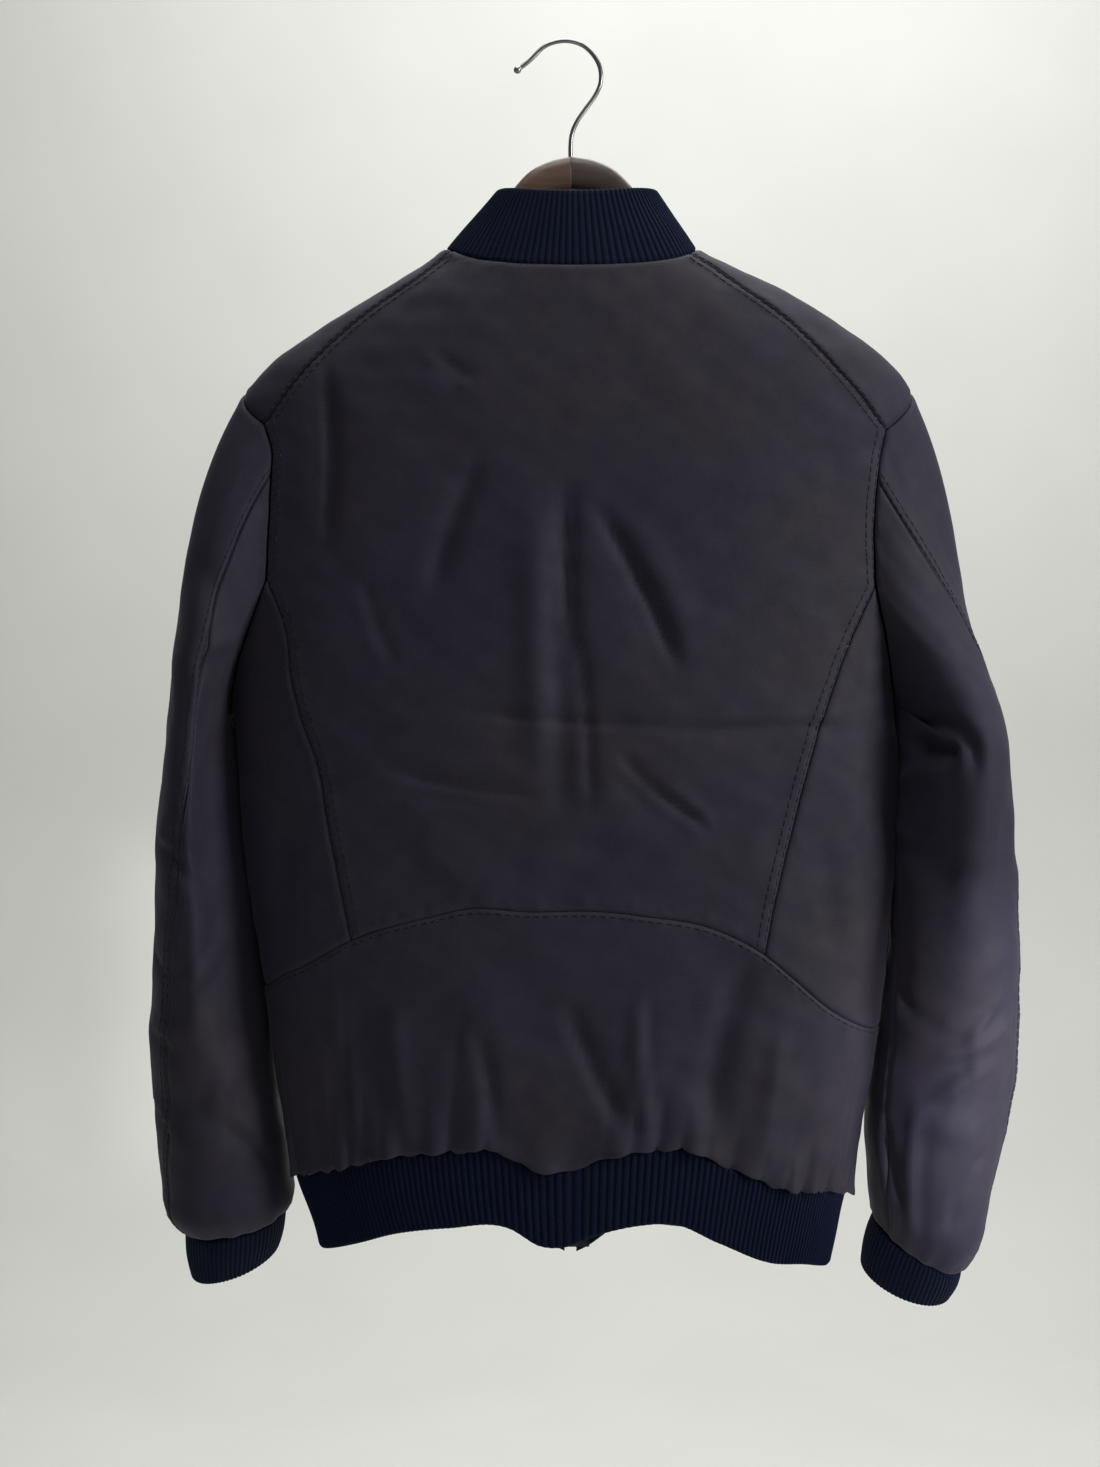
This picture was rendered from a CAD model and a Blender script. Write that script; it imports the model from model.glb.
"""The looks of a zipped bomber jacket that hangs on a two-part contour hanger.

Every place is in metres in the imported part's own frame: the origin is the inner top of
the hook, +Z is up, the front faces -Y and the wearer's left is +X. Tables hold
millimetres and degrees. A place on the body is a turn and a height; the turn runs from 0
at the wearer's left side over 90 at the centre back and 180 at the right side to 270 at
the centre front.
"""

import logging
from collections.abc import Callable
from dataclasses import dataclass
from dataclasses import field
from enum import Enum
from typing import NamedTuple

import bmesh
import bpy
import numpy as np
from mathutils import Matrix
from mathutils import Vector


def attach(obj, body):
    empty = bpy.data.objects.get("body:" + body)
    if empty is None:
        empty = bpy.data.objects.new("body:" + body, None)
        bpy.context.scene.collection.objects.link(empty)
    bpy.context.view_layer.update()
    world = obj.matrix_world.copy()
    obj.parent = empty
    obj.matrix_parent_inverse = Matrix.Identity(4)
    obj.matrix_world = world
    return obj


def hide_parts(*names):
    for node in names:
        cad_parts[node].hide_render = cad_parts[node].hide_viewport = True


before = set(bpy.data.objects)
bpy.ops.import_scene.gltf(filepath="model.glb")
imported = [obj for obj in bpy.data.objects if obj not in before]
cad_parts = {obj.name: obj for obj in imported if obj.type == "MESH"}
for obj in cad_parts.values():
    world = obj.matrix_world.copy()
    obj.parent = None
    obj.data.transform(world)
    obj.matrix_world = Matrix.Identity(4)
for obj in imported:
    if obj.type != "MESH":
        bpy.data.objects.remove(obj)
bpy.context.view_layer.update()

LOG = logging.getLogger("jacket")
MM = 0.001
CLOTH_WALL = 1.6 * MM
RIB_WALL = 2.0 * MM
SEAM_GAP = 0.3 * MM
BROAD_RUMPLE = 0.8 * MM
FINE_RUMPLE = 0.35 * MM
STITCH_NEAR = 1.9 * MM
STITCH_FAR = 7 * MM
BODY_MIDDLE = -4 * MM

Array = np.ndarray
Mesh = bmesh.types.BMesh
Socket = bpy.types.NodeSocket
Triple = tuple[float, float, float]
Curve = Callable[[Array, Array], Array]

# ------------------------------------------------------------------ named rows


class Section(NamedTuple):
    """How far the body reaches at one height, and how square its section is."""

    height: float
    left: float
    right: float
    back: float
    front: float
    square: float


class Place(NamedTuple):
    """A place on a seam, by height and by its side-to-side place."""

    height: float
    across: float


class Fold(NamedTuple):
    """A crease between two places on the body: a ridge where its depth is positive.

    Width is its half-width. Lean raises the side towards +X and sinks the other one.
    """

    across: float
    height: float
    to_across: float
    to_height: float
    bow: float
    width: float
    depth: float
    lean: float = 0.0


class SleeveSection(NamedTuple):
    """A sleeve's section: reach of its sides, its place front to back, and its seams."""

    height: float
    outer: float
    inner: float
    back: float
    depth: float
    rise: float
    pitch: float
    back_seam: float
    front_seam: float


class CuffRing(NamedTuple):
    """One edge of a cuff: its middle, half sizes and how its two ways slope."""

    across: float
    back: float
    height: float
    half_width: float
    half_depth: float
    rise: float
    pitch: float


class HangerSection(NamedTuple):
    """A section of a hanger half, by its distance from where the halves meet."""

    out: float
    drop: float
    high: float
    thick: float
    forward: float


class HookPoint(NamedTuple):
    """A point of the hook wire's middle line."""

    across: float
    height: float


# ---------------------------------------------------------------- size tables

BODY = (
    Section(-140, 73, -81, 34, 26, 2.0),
    Section(-147, 84, -92, 38, 31, 2.0),
    Section(-160, 102, -120, 43, 37, 2.0),
    Section(-180, 137, -160, 49, 45, 2.0),
    Section(-205, 176, -201, 54, 53, 2.0),
    Section(-225, 204, -228, 57, 58, 2.05),
    Section(-246, 225, -243, 60, 62, 2.1),
    Section(-300, 236, -247, 64, 69, 2.2),
    Section(-370, 238, -240, 67, 75, 2.2),
    Section(-456, 235, -231, 69, 78, 2.2),
    Section(-507, 231, -234, 70, 78, 2.2),
    Section(-554, 228, -233, 70, 77, 2.2),
    Section(-607, 221, -229, 70, 76, 2.2),
    Section(-664, 213, -224, 70, 75, 2.2),
    Section(-738, 202, -213, 70, 74, 2.2),
    Section(-775, 195, -206, 69, 73, 2.2),
    Section(-800, 189, -200, 67, 71, 2.2),
    Section(-840, 175, -190, 62, 66, 2.2),
    Section(-880, 168, -183, 58, 62, 2.2),
)

SHOULDER_LEFT = (Place(-155, 84), Place(-169, 99), Place(-189, 128), Place(-220, 165),
                 Place(-238, 181), Place(-274, 208))
SHOULDER_RIGHT = (Place(-156, -89), Place(-178, -119), Place(-206, -156), Place(-227, -177),
                  Place(-250, -198), Place(-278, -221))
ARMHOLE_BACK_LEFT = (Place(-274, 208), Place(-295, 202), Place(-311, 203), Place(-349, 205),
                     Place(-381, 206))
ARMHOLE_BACK_RIGHT = (Place(-278, -221), Place(-300, -216), Place(-325, -213), Place(-356, -212),
                      Place(-386, -213))
ARMHOLE_FRONT_LEFT = (Place(-246, 225), Place(-262, 207), Place(-290, 190), Place(-330, 183),
                      Place(-380, 187), Place(-420, 202), Place(-450, 222), Place(-468, 234))
ARMHOLE_FRONT_RIGHT = (Place(-246, -243), Place(-262, -222), Place(-290, -202), Place(-330, -191),
                       Place(-380, -193), Place(-420, -204), Place(-450, -220), Place(-468, -231))
PRINCESS_LEFT = (Place(-381, 206), Place(-420, 191), Place(-447, 188), Place(-482, 179),
                 Place(-503, 171), Place(-553, 161), Place(-592, 153), Place(-628, 146))
PRINCESS_RIGHT = (Place(-386, -213), Place(-402, -205), Place(-434, -191), Place(-461, -181),
                  Place(-504, -166), Place(-557, -152), Place(-587, -144), Place(-637, -134))

YOKE_SEAM = (Place(-663, 213), Place(-655, 200), Place(-647, 182), Place(-628, 146),
             Place(-611, 90), Place(-605, 63), Place(-607, 27), Place(-607, -23),
             Place(-610, -50), Place(-619, -98), Place(-637, -134), Place(-656, -158),
             Place(-676, -184), Place(-689, -210), Place(-692, -219))
HEM_SEAM = (Place(-795, 190), Place(-786, 160), Place(-776, 126), Place(-770, 85),
            Place(-769, 41), Place(-781, 20), Place(-782, 4), Place(-773, -23),
            Place(-767, -52), Place(-767, -77), Place(-781, -110), Place(-798, -154),
            Place(-802, -181), Place(-807, -200))

BACK_FOLDS = (
    Fold(0, -320, 3, -540, 4, 11, -4.0),
    Fold(14, -350, 16, -520, 3, 12, 2.2),
    Fold(-17, -335, -68, -446, -6, 11, -3.0),
    Fold(167, -240, 166, -355, -5, 9, -2.6),
    Fold(65, -310, 88, -380, 4, 13, -2.0),
    Fold(85, -235, 70, -249, 0, 7, -1.6),
    Fold(-36, -512, -84, -546, 6, 9, -2.4),
    Fold(62, -476, -195, -484, 4, 9, -1.8),
    Fold(110, -514, 20, -530, 5, 9, -1.8),
    Fold(-116, -640, -92, -745, 8, 20, -4.0),
    Fold(4, -674, -36, -752, 5, 13, -2.6),
    Fold(60, -650, 48, -745, -5, 16, 2.4),
    Fold(140, -668, 118, -748, 6, 14, -2.2),
    Fold(-165, -700, -150, -778, -5, 12, -2.2),
)
FRONT_FOLDS = (
    Fold(70, -300, 58, -520, 6, 13, -3.2),
    Fold(-62, -290, -75, -470, -6, 13, -3.0),
    Fold(150, -330, 96, -420, 5, 12, -2.6),
    Fold(-158, -340, -105, -430, -5, 12, -2.6),
    Fold(120, -600, 90, -770, 8, 16, -3.4),
    Fold(-118, -590, -84, -765, -8, 16, -3.2),
)

SLEEVE_LEFT = (
    SleeveSection(-500, 279, 236, -2, 72, 4, 0, 108, 236),
    SleeveSection(-548, 286, 232, -5, 72, 0, 0, 93, 238),
    SleeveSection(-600, 288, 225, -8, 70, 0, 0, 77, 238),
    SleeveSection(-655, 292, 218, -11, 66, 0, 0, 65, 236),
    SleeveSection(-710, 294, 210, -13, 62, 0, 0, 59, 234),
    SleeveSection(-765, 291, 201, -15, 57, 0, -2, 50, 232),
    SleeveSection(-800, 288, 196, -16, 52, -2, -5, 40, 230),
    SleeveSection(-824, 280, 195, -16, 45, -5, -9, 36, 230),
    SleeveSection(-830, 272, 198, -16, 37, -6, -10, 35, 230),
)
SLEEVE_RIGHT = (
    SleeveSection(-500, 310, 241, -3, 70, 4, 0, 4, 200),
    SleeveSection(-548, 315, 236, -6, 69, 0, 0, -8, 186),
    SleeveSection(-600, 318, 232, -8, 67, 0, 0, 18, 174),
    SleeveSection(-655, 320, 227, -10, 64, 0, 0, 27, 160),
    SleeveSection(-710, 320, 220, -12, 61, 0, 0, 30, 150),
    SleeveSection(-765, 312, 214, -14, 57, -3, -2, 24, 146),
    SleeveSection(-808, 301, 216, -15, 52, -9, -5, 18, 145),
    SleeveSection(-838, 292, 219, -16, 45, -14, -9, 16, 145),
    SleeveSection(-848, 283, 221, -16, 37, -16, -11, 15, 145),
)

SLEEVE_FOLDS_LEFT = (
    Fold(112, -430, 62, -458, 8, 14, -3.4),
    Fold(60, -560, 130, -585, 6, 12, -3.4),
    Fold(120, -655, 55, -672, 7, 13, -3.0),
    Fold(50, -745, 120, -764, 6, 12, -3.0),
    Fold(300, -560, 235, -590, 8, 14, -3.4),
    Fold(240, -700, 310, -722, 8, 14, -3.4),
)
SLEEVE_FOLDS_RIGHT = (
    Fold(140, -470, 85, -508, -8, 12, -6.0),
    Fold(150, -552, 110, -585, 8, 11, -3.6),
    Fold(45, -690, 85, -716, 5, 9, 3.0),
    Fold(48, -722, 100, -740, 6, 10, 3.0),
    Fold(60, -762, 125, -745, -6, 10, 2.6),
    Fold(300, -560, 235, -590, 8, 14, -3.4),
    Fold(240, -700, 310, -722, 8, 14, -3.4),
)

CUFF_LEFT = (CuffRing(235, -16, -830.6, 36, 35, -6, -10),
             CuffRing(239, -34, -868, 31, 31, -9, -8))
CUFF_RIGHT = (CuffRing(-251, -16, -849, 31, 35, -16, -11),
              CuffRing(-246, -36, -882, 32, 31, -9, -10))

HANGER = (
    HangerSection(0.2, 0, 24, 13, 0),
    HangerSection(18, 4, 24, 13, 0),
    HangerSection(31, 11, 23, 13, 0),
    HangerSection(44, 25, 21, 13, 0),
    HangerSection(62, 49, 20, 14, 1),
    HangerSection(87, 78, 20, 16, 3),
    HangerSection(125, 102, 19, 20, 5),
    HangerSection(165, 124, 17, 24, 8),
    HangerSection(190, 141, 15, 25, 9),
    HangerSection(200, 150, 9, 18, 9),
)

HOOK = (HookPoint(34, -19), HookPoint(25.5, -12.5), HookPoint(16, -3.2), HookPoint(8.5, 0.4),
        HookPoint(0, 1.6), HookPoint(-7.6, 0.3), HookPoint(-14, -2.9), HookPoint(-20, -9),
        HookPoint(-23.8, -16), HookPoint(-25, -23.5), HookPoint(-23.8, -31),
        HookPoint(-20, -38.5), HookPoint(-14.5, -46), HookPoint(-8.6, -54.5),
        HookPoint(-4.8, -63), HookPoint(-3.5, -72), HookPoint(-3.5, -92))
FOLD_TAPER = 0.3
FOLD_END = 0.35

# Finer creases than the solids have, by the same columns.
BACK_CREASES = (
    Fold(3, -325, -4, -430, 1, 4.5, -2.6, 1.2),
    Fold(-6, -425, -14, -535, -2, 5, -2.2, 1.0),
    Fold(24, -330, 14, -500, 2, 14, 2.6),
    Fold(-18, -337, -73, -446, -4, 6, -2.0, 1.8),
    Fold(-46, -350, -84, -430, -3, 11, 2.2),
    Fold(62, -300, 96, -392, 2, 8, -1.2, 1.1),
    Fold(140, -388, 118, -442, 2, 6, -0.7, 0.7),
    Fold(94, -228, 62, -252, 0, 4, -0.4, 0.7),
    Fold(168, -236, 166, -352, -4, 4.5, -1.2, 1.5),
    Fold(-34, -503, -94, -552, 4, 5, -0.6, 1.5),
    Fold(-64, -524, -98, -552, -2, 4, 1.0, -0.9),
    Fold(120, -515, 20, -531, 3, 4, -0.6, 1.1),
    Fold(114, -532, 62, -536, 0, 4, -0.5, 0.8),
    Fold(64, -475, -70, -484, 3, 4, -0.5, 1.2),
    Fold(-70, -484, -200, -480, -2, 4, -0.5, 1.1),
    Fold(222, -513, 176, -513, 0, 4, -0.4, 0.9),
    Fold(100, -560, 40, -592, 5, 16, 1.8),
    Fold(-30, -560, 10, -606, 4, 14, -2.0),
    Fold(-120, -560, -150, -600, 4, 14, 1.8),
    Fold(2, -672, -38, -757, 3, 8, -1.2, 2.0),
    Fold(-51, -668, -58, -757, 2, 7, 1.6, 1.4),
    Fold(-118, -641, -91, -752, 5, 12, -2.2, 2.2),
    Fold(62, -690, 50, -764, -2, 7, -1.4, 1.4),
    Fold(112, -676, 100, -768, 3, 9, 1.8, 1.0),
    Fold(158, -700, 150, -774, 3, 8, -1.6, 1.0),
    Fold(-150, -690, -140, -784, 3, 8, 1.6, 1.0),
    Fold(-178, -560, -186, -640, 3, 10, -2.2),
    Fold(188, -540, 196, -630, 3, 10, -2.2),
)
FRONT_CREASES = (
    Fold(66, -310, 50, -470, 4, 6, -1.2, 2.0),
    Fold(-70, -300, -82, -430, -4, 6, -1.2, -2.0),
    Fold(30, -500, 120, -560, 6, 7, -1.0, 1.8),
    Fold(-40, -520, -130, -590, -6, 7, -1.0, 1.8),
    Fold(40, -640, 60, -790, 4, 10, 2.2, 1.2),
    Fold(-44, -630, -58, -790, -4, 10, 2.2, -1.2),
)
SLEEVE_CREASES_LEFT = (
    Fold(60, -368, 165, -398, -6, 15, -6.0),
    Fold(102, -431, 175, -412, 3, 7, 4.0, 1.5),
    Fold(136, -440, 136, -735, 2, 24, -8.5),
    Fold(104, -440, 92, -700, 2, 9, 2.2),
    Fold(196, -440, 192, -720, 0, 34, 7.0),
    Fold(150, -470, 112, -520, 5, 8, 2.2),
    Fold(40, -560, 110, -590, 5, 7, -1.6, 1.8),
    Fold(140, -620, 80, -655, 5, 9, 1.8, 1.4),
    Fold(35, -640, 60, -652, 2, 5, -1.2, 1.2),
    Fold(30, -690, 75, -705, 4, 6, 1.4, 1.6),
    Fold(150, -700, 95, -745, -5, 10, 2.4, 1.0),
    Fold(110, -755, 150, -790, 3, 7, -1.8, 1.2),
    Fold(20, -744, 55, -768, 3, 6, -1.4, 1.2),
    Fold(255, -480, 300, -540, 5, 12, -2.6),
    Fold(300, -640, 240, -680, 5, 12, 2.4),
)
SLEEVE_CREASES_RIGHT = (
    Fold(172, -432, 106, -490, 7, 9, 4.6),
    Fold(160, -499, 112, -503, 0, 9, -9.0, 2.2),
    Fold(186, -470, 182, -600, 0, 32, 7.0),
    Fold(170, -523, 122, -514, -2, 6, 3.2, 1.0),
    Fold(168, -545, 132, -562, 4, 6, 2.6, 1.2),
    Fold(140, -586, 30, -574, 10, 32, -6.5),
    Fold(150, -646, 30, -632, 8, 28, 4.6),
    Fold(114, -712, 44, -682, 3, 5, 3.2, 1.2),
    Fold(110, -742, 52, -712, -4, 5, 2.8, 1.2),
    Fold(88, -698, 60, -658, 2, 4.6, 2.8, 1.0),
    Fold(150, -672, 110, -690, 4, 7, -1.8, 1.4),
    Fold(116, -745, 112, -842, 2, 7, 1.6, 1.8),
    Fold(60, -770, 85, -826, 4, 8, -2.0, 1.4),
    Fold(150, -760, 130, -815, 4, 8, -2.2, 1.2),
    Fold(250, -480, 300, -540, 5, 12, -2.6),
    Fold(300, -640, 240, -690, 5, 12, 2.4),
)

# ----------------------------------------------------------------- shared maths


def column(rows: tuple, name: str) -> Array:
    """One named column of a table."""
    return np.array([getattr(row, name) for row in rows], float)


def signed_power(value: Array, power: Array) -> Array:
    """Raises the size of a value to a power and keeps its sign."""
    return np.sign(value) * np.abs(value) ** power


def bridge(start: Array, end: Array, leave: Array, arrive: Array, part: Array) -> Array:
    """A smooth way from a start to an end.

    Args:
        start: where it starts.
        end: where it ends.
        leave: its slope at the start, over the whole span.
        arrive: its slope at the end, over the whole span.
        part: how far along it is read, from 0 to 1.

    Returns:
        The place there.
    """
    return (
        start * (1 + 2 * part) * (1 - part) ** 2
        + end * part**2 * (3 - 2 * part)
        + leave * part * (1 - part) ** 2
        - arrive * part**2 * (1 - part)
    )


def smooth_curve(places: Array, values: Array, where: Array) -> Array:
    """Reads a smooth curve through values that are known at some places.

    Args:
        places: where the values are known.
        values: the values there.
        where: where the curve is read.

    Returns:
        The curve's values, held at its ends beyond them.
    """
    order = np.argsort(places)
    places, values = places[order], values[order]
    where = np.clip(where, places[0], places[-1])
    slopes = np.gradient(values, places)
    left = np.clip(np.searchsorted(places, where) - 1, 0, len(places) - 2)
    span = places[left + 1] - places[left]
    part = (where - places[left]) / span
    return bridge(values[left], values[left + 1], slopes[left] * span,
                  slopes[left + 1] * span, part)


def table_curve(rows: tuple, key: str, name: str, where: Array) -> Array:
    """One column of a table, read as a smooth curve along its key column."""
    return smooth_curve(column(rows, key), column(rows, name), where)


def eased(part: Array) -> Array:
    """Goes from 0 to 1 with a soft start and end."""
    part = np.clip(part, 0, 1)
    return part * part * (3 - 2 * part)


def unit(vectors: Array) -> Array:
    """Vectors brought to a length of one."""
    return vectors / np.maximum(np.linalg.norm(vectors, axis=-1, keepdims=True), 1e-12)


def fold_sum(folds: tuple[Fold, ...], across: Array, height: Array) -> Array:
    """Adds up the heights of a table's folds.

    Args:
        folds: the creases.
        across: each place's first coordinate, in the table's own unit.
        height: each place's height in millimetres.

    Returns:
        How far the cloth is raised at each place, in metres.
    """
    total = np.zeros(np.broadcast(across, height).shape)
    for fold in folds:
        chord = np.array([fold.to_across - fold.across, fold.to_height - fold.height])
        length = np.hypot(*chord)
        along = chord / length
        away_x, away_z = across - fold.across, height - fold.height
        part = (away_x * along[0] + away_z * along[1]) / length
        aside = away_z * along[0] - away_x * along[1] - fold.bow * 4 * part * (1 - part)
        ends = eased(np.minimum(part, 1 - part) / FOLD_TAPER + FOLD_END)
        share = aside / fold.width
        shape = fold.depth - fold.lean * 2.3 * share * np.sign(along[1])
        total = total + shape * MM * ends * np.exp(-(share**2))
    return total


def wander(place: Array, length: float, seed: int) -> Array:
    """An irregular wave from -1 to 1 along one way.

    Args:
        place: how far along each point lies, in metres.
        length: the longest wave's length, in metres.
        seed: picks the wave's phases.

    Returns:
        The wave at each place.
    """
    phases = np.random.default_rng(seed).random(4)
    total = np.zeros(np.shape(place))
    for pace, share, phase in zip((1.0, 1.63, 2.71, 4.1), (0.4, 0.28, 0.2, 0.12), phases):
        total = total + share * np.sin(2 * np.pi * (place * pace / length + phase))
    return total


def rumple(points: Array, length: float, seed: int) -> Array:
    """A soft unevenness from about -1 to 1 that runs on from panel to panel.

    Args:
        points: the surface's points, in metres.
        length: how far apart its swells lie, in metres.
        seed: picks its directions.

    Returns:
        The unevenness at each point.
    """
    random = np.random.default_rng(seed)
    total = np.zeros(points.shape[:-1])
    for _ in range(9):
        way = unit(random.normal(size=3)) * 2 * np.pi / (length * (0.6 + 0.9 * random.random()))
        total = total + np.sin(points @ way + 2 * np.pi * random.random()) / 4
    return total


def spaced(length: float, step: float, start: bool = True, end: bool = True) -> Array:
    """Shares from 0 to 1 along an edge, closer together beside a seam.

    Args:
        length: the edge's length in metres.
        step: the spacing away from seams, in metres.
        start: whether the first end is a seam.
        end: whether the last end is a seam.

    Returns:
        The shares, in order.
    """
    beside = np.array([0.0, 0.7, 1.4, 2.3, 3.6, 5.2, 7.2]) * MM
    low = beside if start else np.array([0.0])
    high = length - beside[::-1] if end else np.array([length])
    count = max(2, int(round((high[0] - low[-1]) / step)) + 1)
    middle = np.linspace(low[-1], high[0], count)[1:-1]
    return np.concatenate([low, middle, high]) / length


def rows_between(low: Array, high: Array, shares: Array) -> Array:
    """Rows that go from one curve to another at the shares given."""
    return low + (high - low) * shares[:, None]


def grid_normals(points: Array, facing: Array) -> Array:
    """The way at right angles to a grid at each point, on the side that it faces.

    Args:
        points: rows, columns and three coordinates.
        facing: roughly the way it faces, at each point or for all.

    Returns:
        The ways, each one long.
    """
    normals = unit(np.cross(np.gradient(points, axis=1), np.gradient(points, axis=0)))
    return normals * np.sign(np.mean(np.sum(normals * facing, axis=-1)))


def lengths_along(points: Array, axis: int) -> Array:
    """How far along its line, row or column each point lies, in metres.

    Args:
        points: the points of a line, or a grid's rows and columns.
        axis: 1 to go along a grid's rows, 0 to go up its columns or along a line.

    Returns:
        Each point's distance from the border where it starts, in metres.
    """
    steps = np.linalg.norm(np.diff(points, axis=axis), axis=-1)
    start = np.zeros_like(np.take(steps, [0], axis=axis))
    return np.cumsum(np.concatenate([start, steps], axis=axis), axis=axis)


def level_way(turn: Array, sign: int = 1) -> Array:
    """The level way out at each turn in degrees; a sign of -1 counts from the right side."""
    angle = np.radians(turn)
    return np.stack([sign * np.cos(angle), np.sin(angle), np.zeros_like(angle)], axis=-1)


# -------------------------------------------------------------------- finishes


def linear(colour: str) -> tuple[float, float, float, float]:
    """An sRGB hex colour as the linear values that a shader takes.

    Args:
        colour: the colour, as in #8fa3c4.

    Returns:
        Red, green, blue and 1.
    """
    parts = [int(colour[place : place + 2], 16) / 255 for place in (1, 3, 5)]
    made = [part / 12.92 if part <= 0.04045 else ((part + 0.055) / 1.055) ** 2.4 for part in parts]
    return (*made, 1.0)


def add_node(
    tree: bpy.types.NodeTree, kind: str, inputs: dict | None = None, **settings: object
) -> bpy.types.Node:
    """Adds one node with its settings, values and links.

    Args:
        tree: the node tree.
        kind: the node's type name.
        inputs: a value or an output socket for each input, by name or number.
        **settings: the node's own properties.

    Returns:
        The node.
    """
    node = tree.nodes.new(kind)
    for name, value in settings.items():
        setattr(node, name, value)
    for key, value in (inputs or {}).items():
        if isinstance(value, Socket):
            tree.links.new(value, node.inputs[key])
        else:
            node.inputs[key].default_value = value
    return node


class Paint:
    """A material's node tree, with the few kinds of node that the finishes are made of."""

    def __init__(self, tree: bpy.types.NodeTree) -> None:
        """Starts the tree with its shader.

        Args:
            tree: the material's empty node tree.
        """
        self.tree = tree
        self.shader = add_node(tree, "ShaderNodeBsdfPrincipled")
        add_node(tree, "ShaderNodeOutputMaterial", {"Surface": self.shader.outputs[0]})

    def spot(self) -> Socket:
        """The place in the object, in metres."""
        return add_node(self.tree, "ShaderNodeTexCoord").outputs["Object"]

    def weave(self) -> Socket:
        """The place on the flat cloth, in metres."""
        return add_node(self.tree, "ShaderNodeUVMap", uv_map="cloth").outputs[0]

    def mark(self, name: str) -> Socket:
        """A value that the mesh keeps at each point."""
        return add_node(self.tree, "ShaderNodeAttribute", attribute_name=name).outputs["Fac"]

    def turned(self, where: Socket, rotation: tuple, scale: tuple = (1.0, 1.0, 1.0)) -> Socket:
        """A place turned and scaled, for patterns that run one way."""
        return add_node(self.tree, "ShaderNodeMapping", {
            "Vector": where, "Rotation": rotation, "Scale": scale}).outputs[0]

    def noise(self, where: Socket, size: float, detail: float,
              roughness: float = 0.5, distortion: float = 0.0) -> Socket:
        """A cloudy pattern.

        Args:
            where: the place it is read at.
            size: how large its clouds are, in metres.
            detail: how many finer layers it has.
            roughness: how strong the finer layers are.
            distortion: how much it is stirred.

        Returns:
            Its value, about 0.5 in the mean.
        """
        return add_node(self.tree, "ShaderNodeTexNoise", {
            "Vector": where, "Scale": 1 / size, "Detail": detail, "Roughness": roughness,
            "Distortion": distortion}).outputs[0]

    def waves(self, where: Socket, pitch: float, distortion: float,
              detail: float = 2.0, bands: str = "X") -> Socket:
        """A pattern of even bands.

        Args:
            where: the place it is read at.
            pitch: from one band to the next, in metres.
            distortion: how unevenly they run.
            detail: how many finer layers the unevenness has.
            bands: the way across the bands.

        Returns:
            Its value, 1 on the bands.
        """
        return add_node(self.tree, "ShaderNodeTexWave", {
            "Vector": where, "Scale": np.pi / (10 * pitch), "Distortion": distortion,
            "Detail": detail}, bands_direction=bands).outputs["Fac"]

    def spread(self, value: Socket, low: float = 0.0, high: float = 1.0,
               to_low: float = 0.0, to_high: float = 1.0) -> Socket:
        """A value brought from one range to another, held at its ends.

        Args:
            value: the value.
            low: where its own range starts.
            high: where it ends.
            to_low: what the start becomes.
            to_high: what the end becomes.

        Returns:
            The new value.
        """
        return add_node(self.tree, "ShaderNodeMapRange", {
            "Value": value, "From Min": low, "From Max": high, "To Min": to_low,
            "To Max": to_high}).outputs[0]

    def blend(self, share: Socket, first: object, second: str) -> Socket:
        """Goes from one colour to another.

        Args:
            share: how much of the second colour shows.
            first: the first colour, as hex or as another blend.
            second: the second colour as hex.

        Returns:
            The colour.
        """
        start = linear(first) if isinstance(first, str) else first
        return add_node(self.tree, "ShaderNodeMix", {
            "Factor": share, 6: start, 7: linear(second)}, data_type="RGBA").outputs[2]

    def bump(self, height: Socket, strength: float, distance: float,
             under: Socket | None = None) -> Socket:
        """Makes a pattern stand out of the surface.

        Args:
            height: the pattern.
            strength: how much of it is felt.
            distance: how high it stands, in metres.
            under: the coarser bumps that it lies on.

        Returns:
            The surface's way out.
        """
        made = add_node(self.tree, "ShaderNodeBump", {
            "Height": height, "Strength": strength, "Distance": distance})
        if under:
            self.tree.links.new(under, made.inputs["Normal"])
        return made.outputs[0]

    def give(self, **values: object) -> None:
        """Sets or links the shader's inputs, named with _ for each space.

        Args:
            **values: a value or a socket for each input.
        """
        for name, value in values.items():
            socket = self.shader.inputs[name.replace("_", " ")]
            if isinstance(value, Socket):
                self.tree.links.new(value, socket)
            else:
                socket.default_value = value


class Finish:
    """A material that is made once, when a piece first asks for it."""

    name: str

    def material(self) -> bpy.types.Material:
        """The finish's material.

        Returns:
            The one material of this name.
        """
        found = bpy.data.materials.get(self.name)
        if found is None:
            found = bpy.data.materials.new(self.name)
            found.use_nodes = True
            found.node_tree.nodes.clear()
            self.dress(Paint(found.node_tree))
        return found

    def dress(self, paint: Paint) -> None:
        """Gives the paint its colours and its surface.

        Args:
            paint: the material's paint.
        """
        raise NotImplementedError


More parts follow.
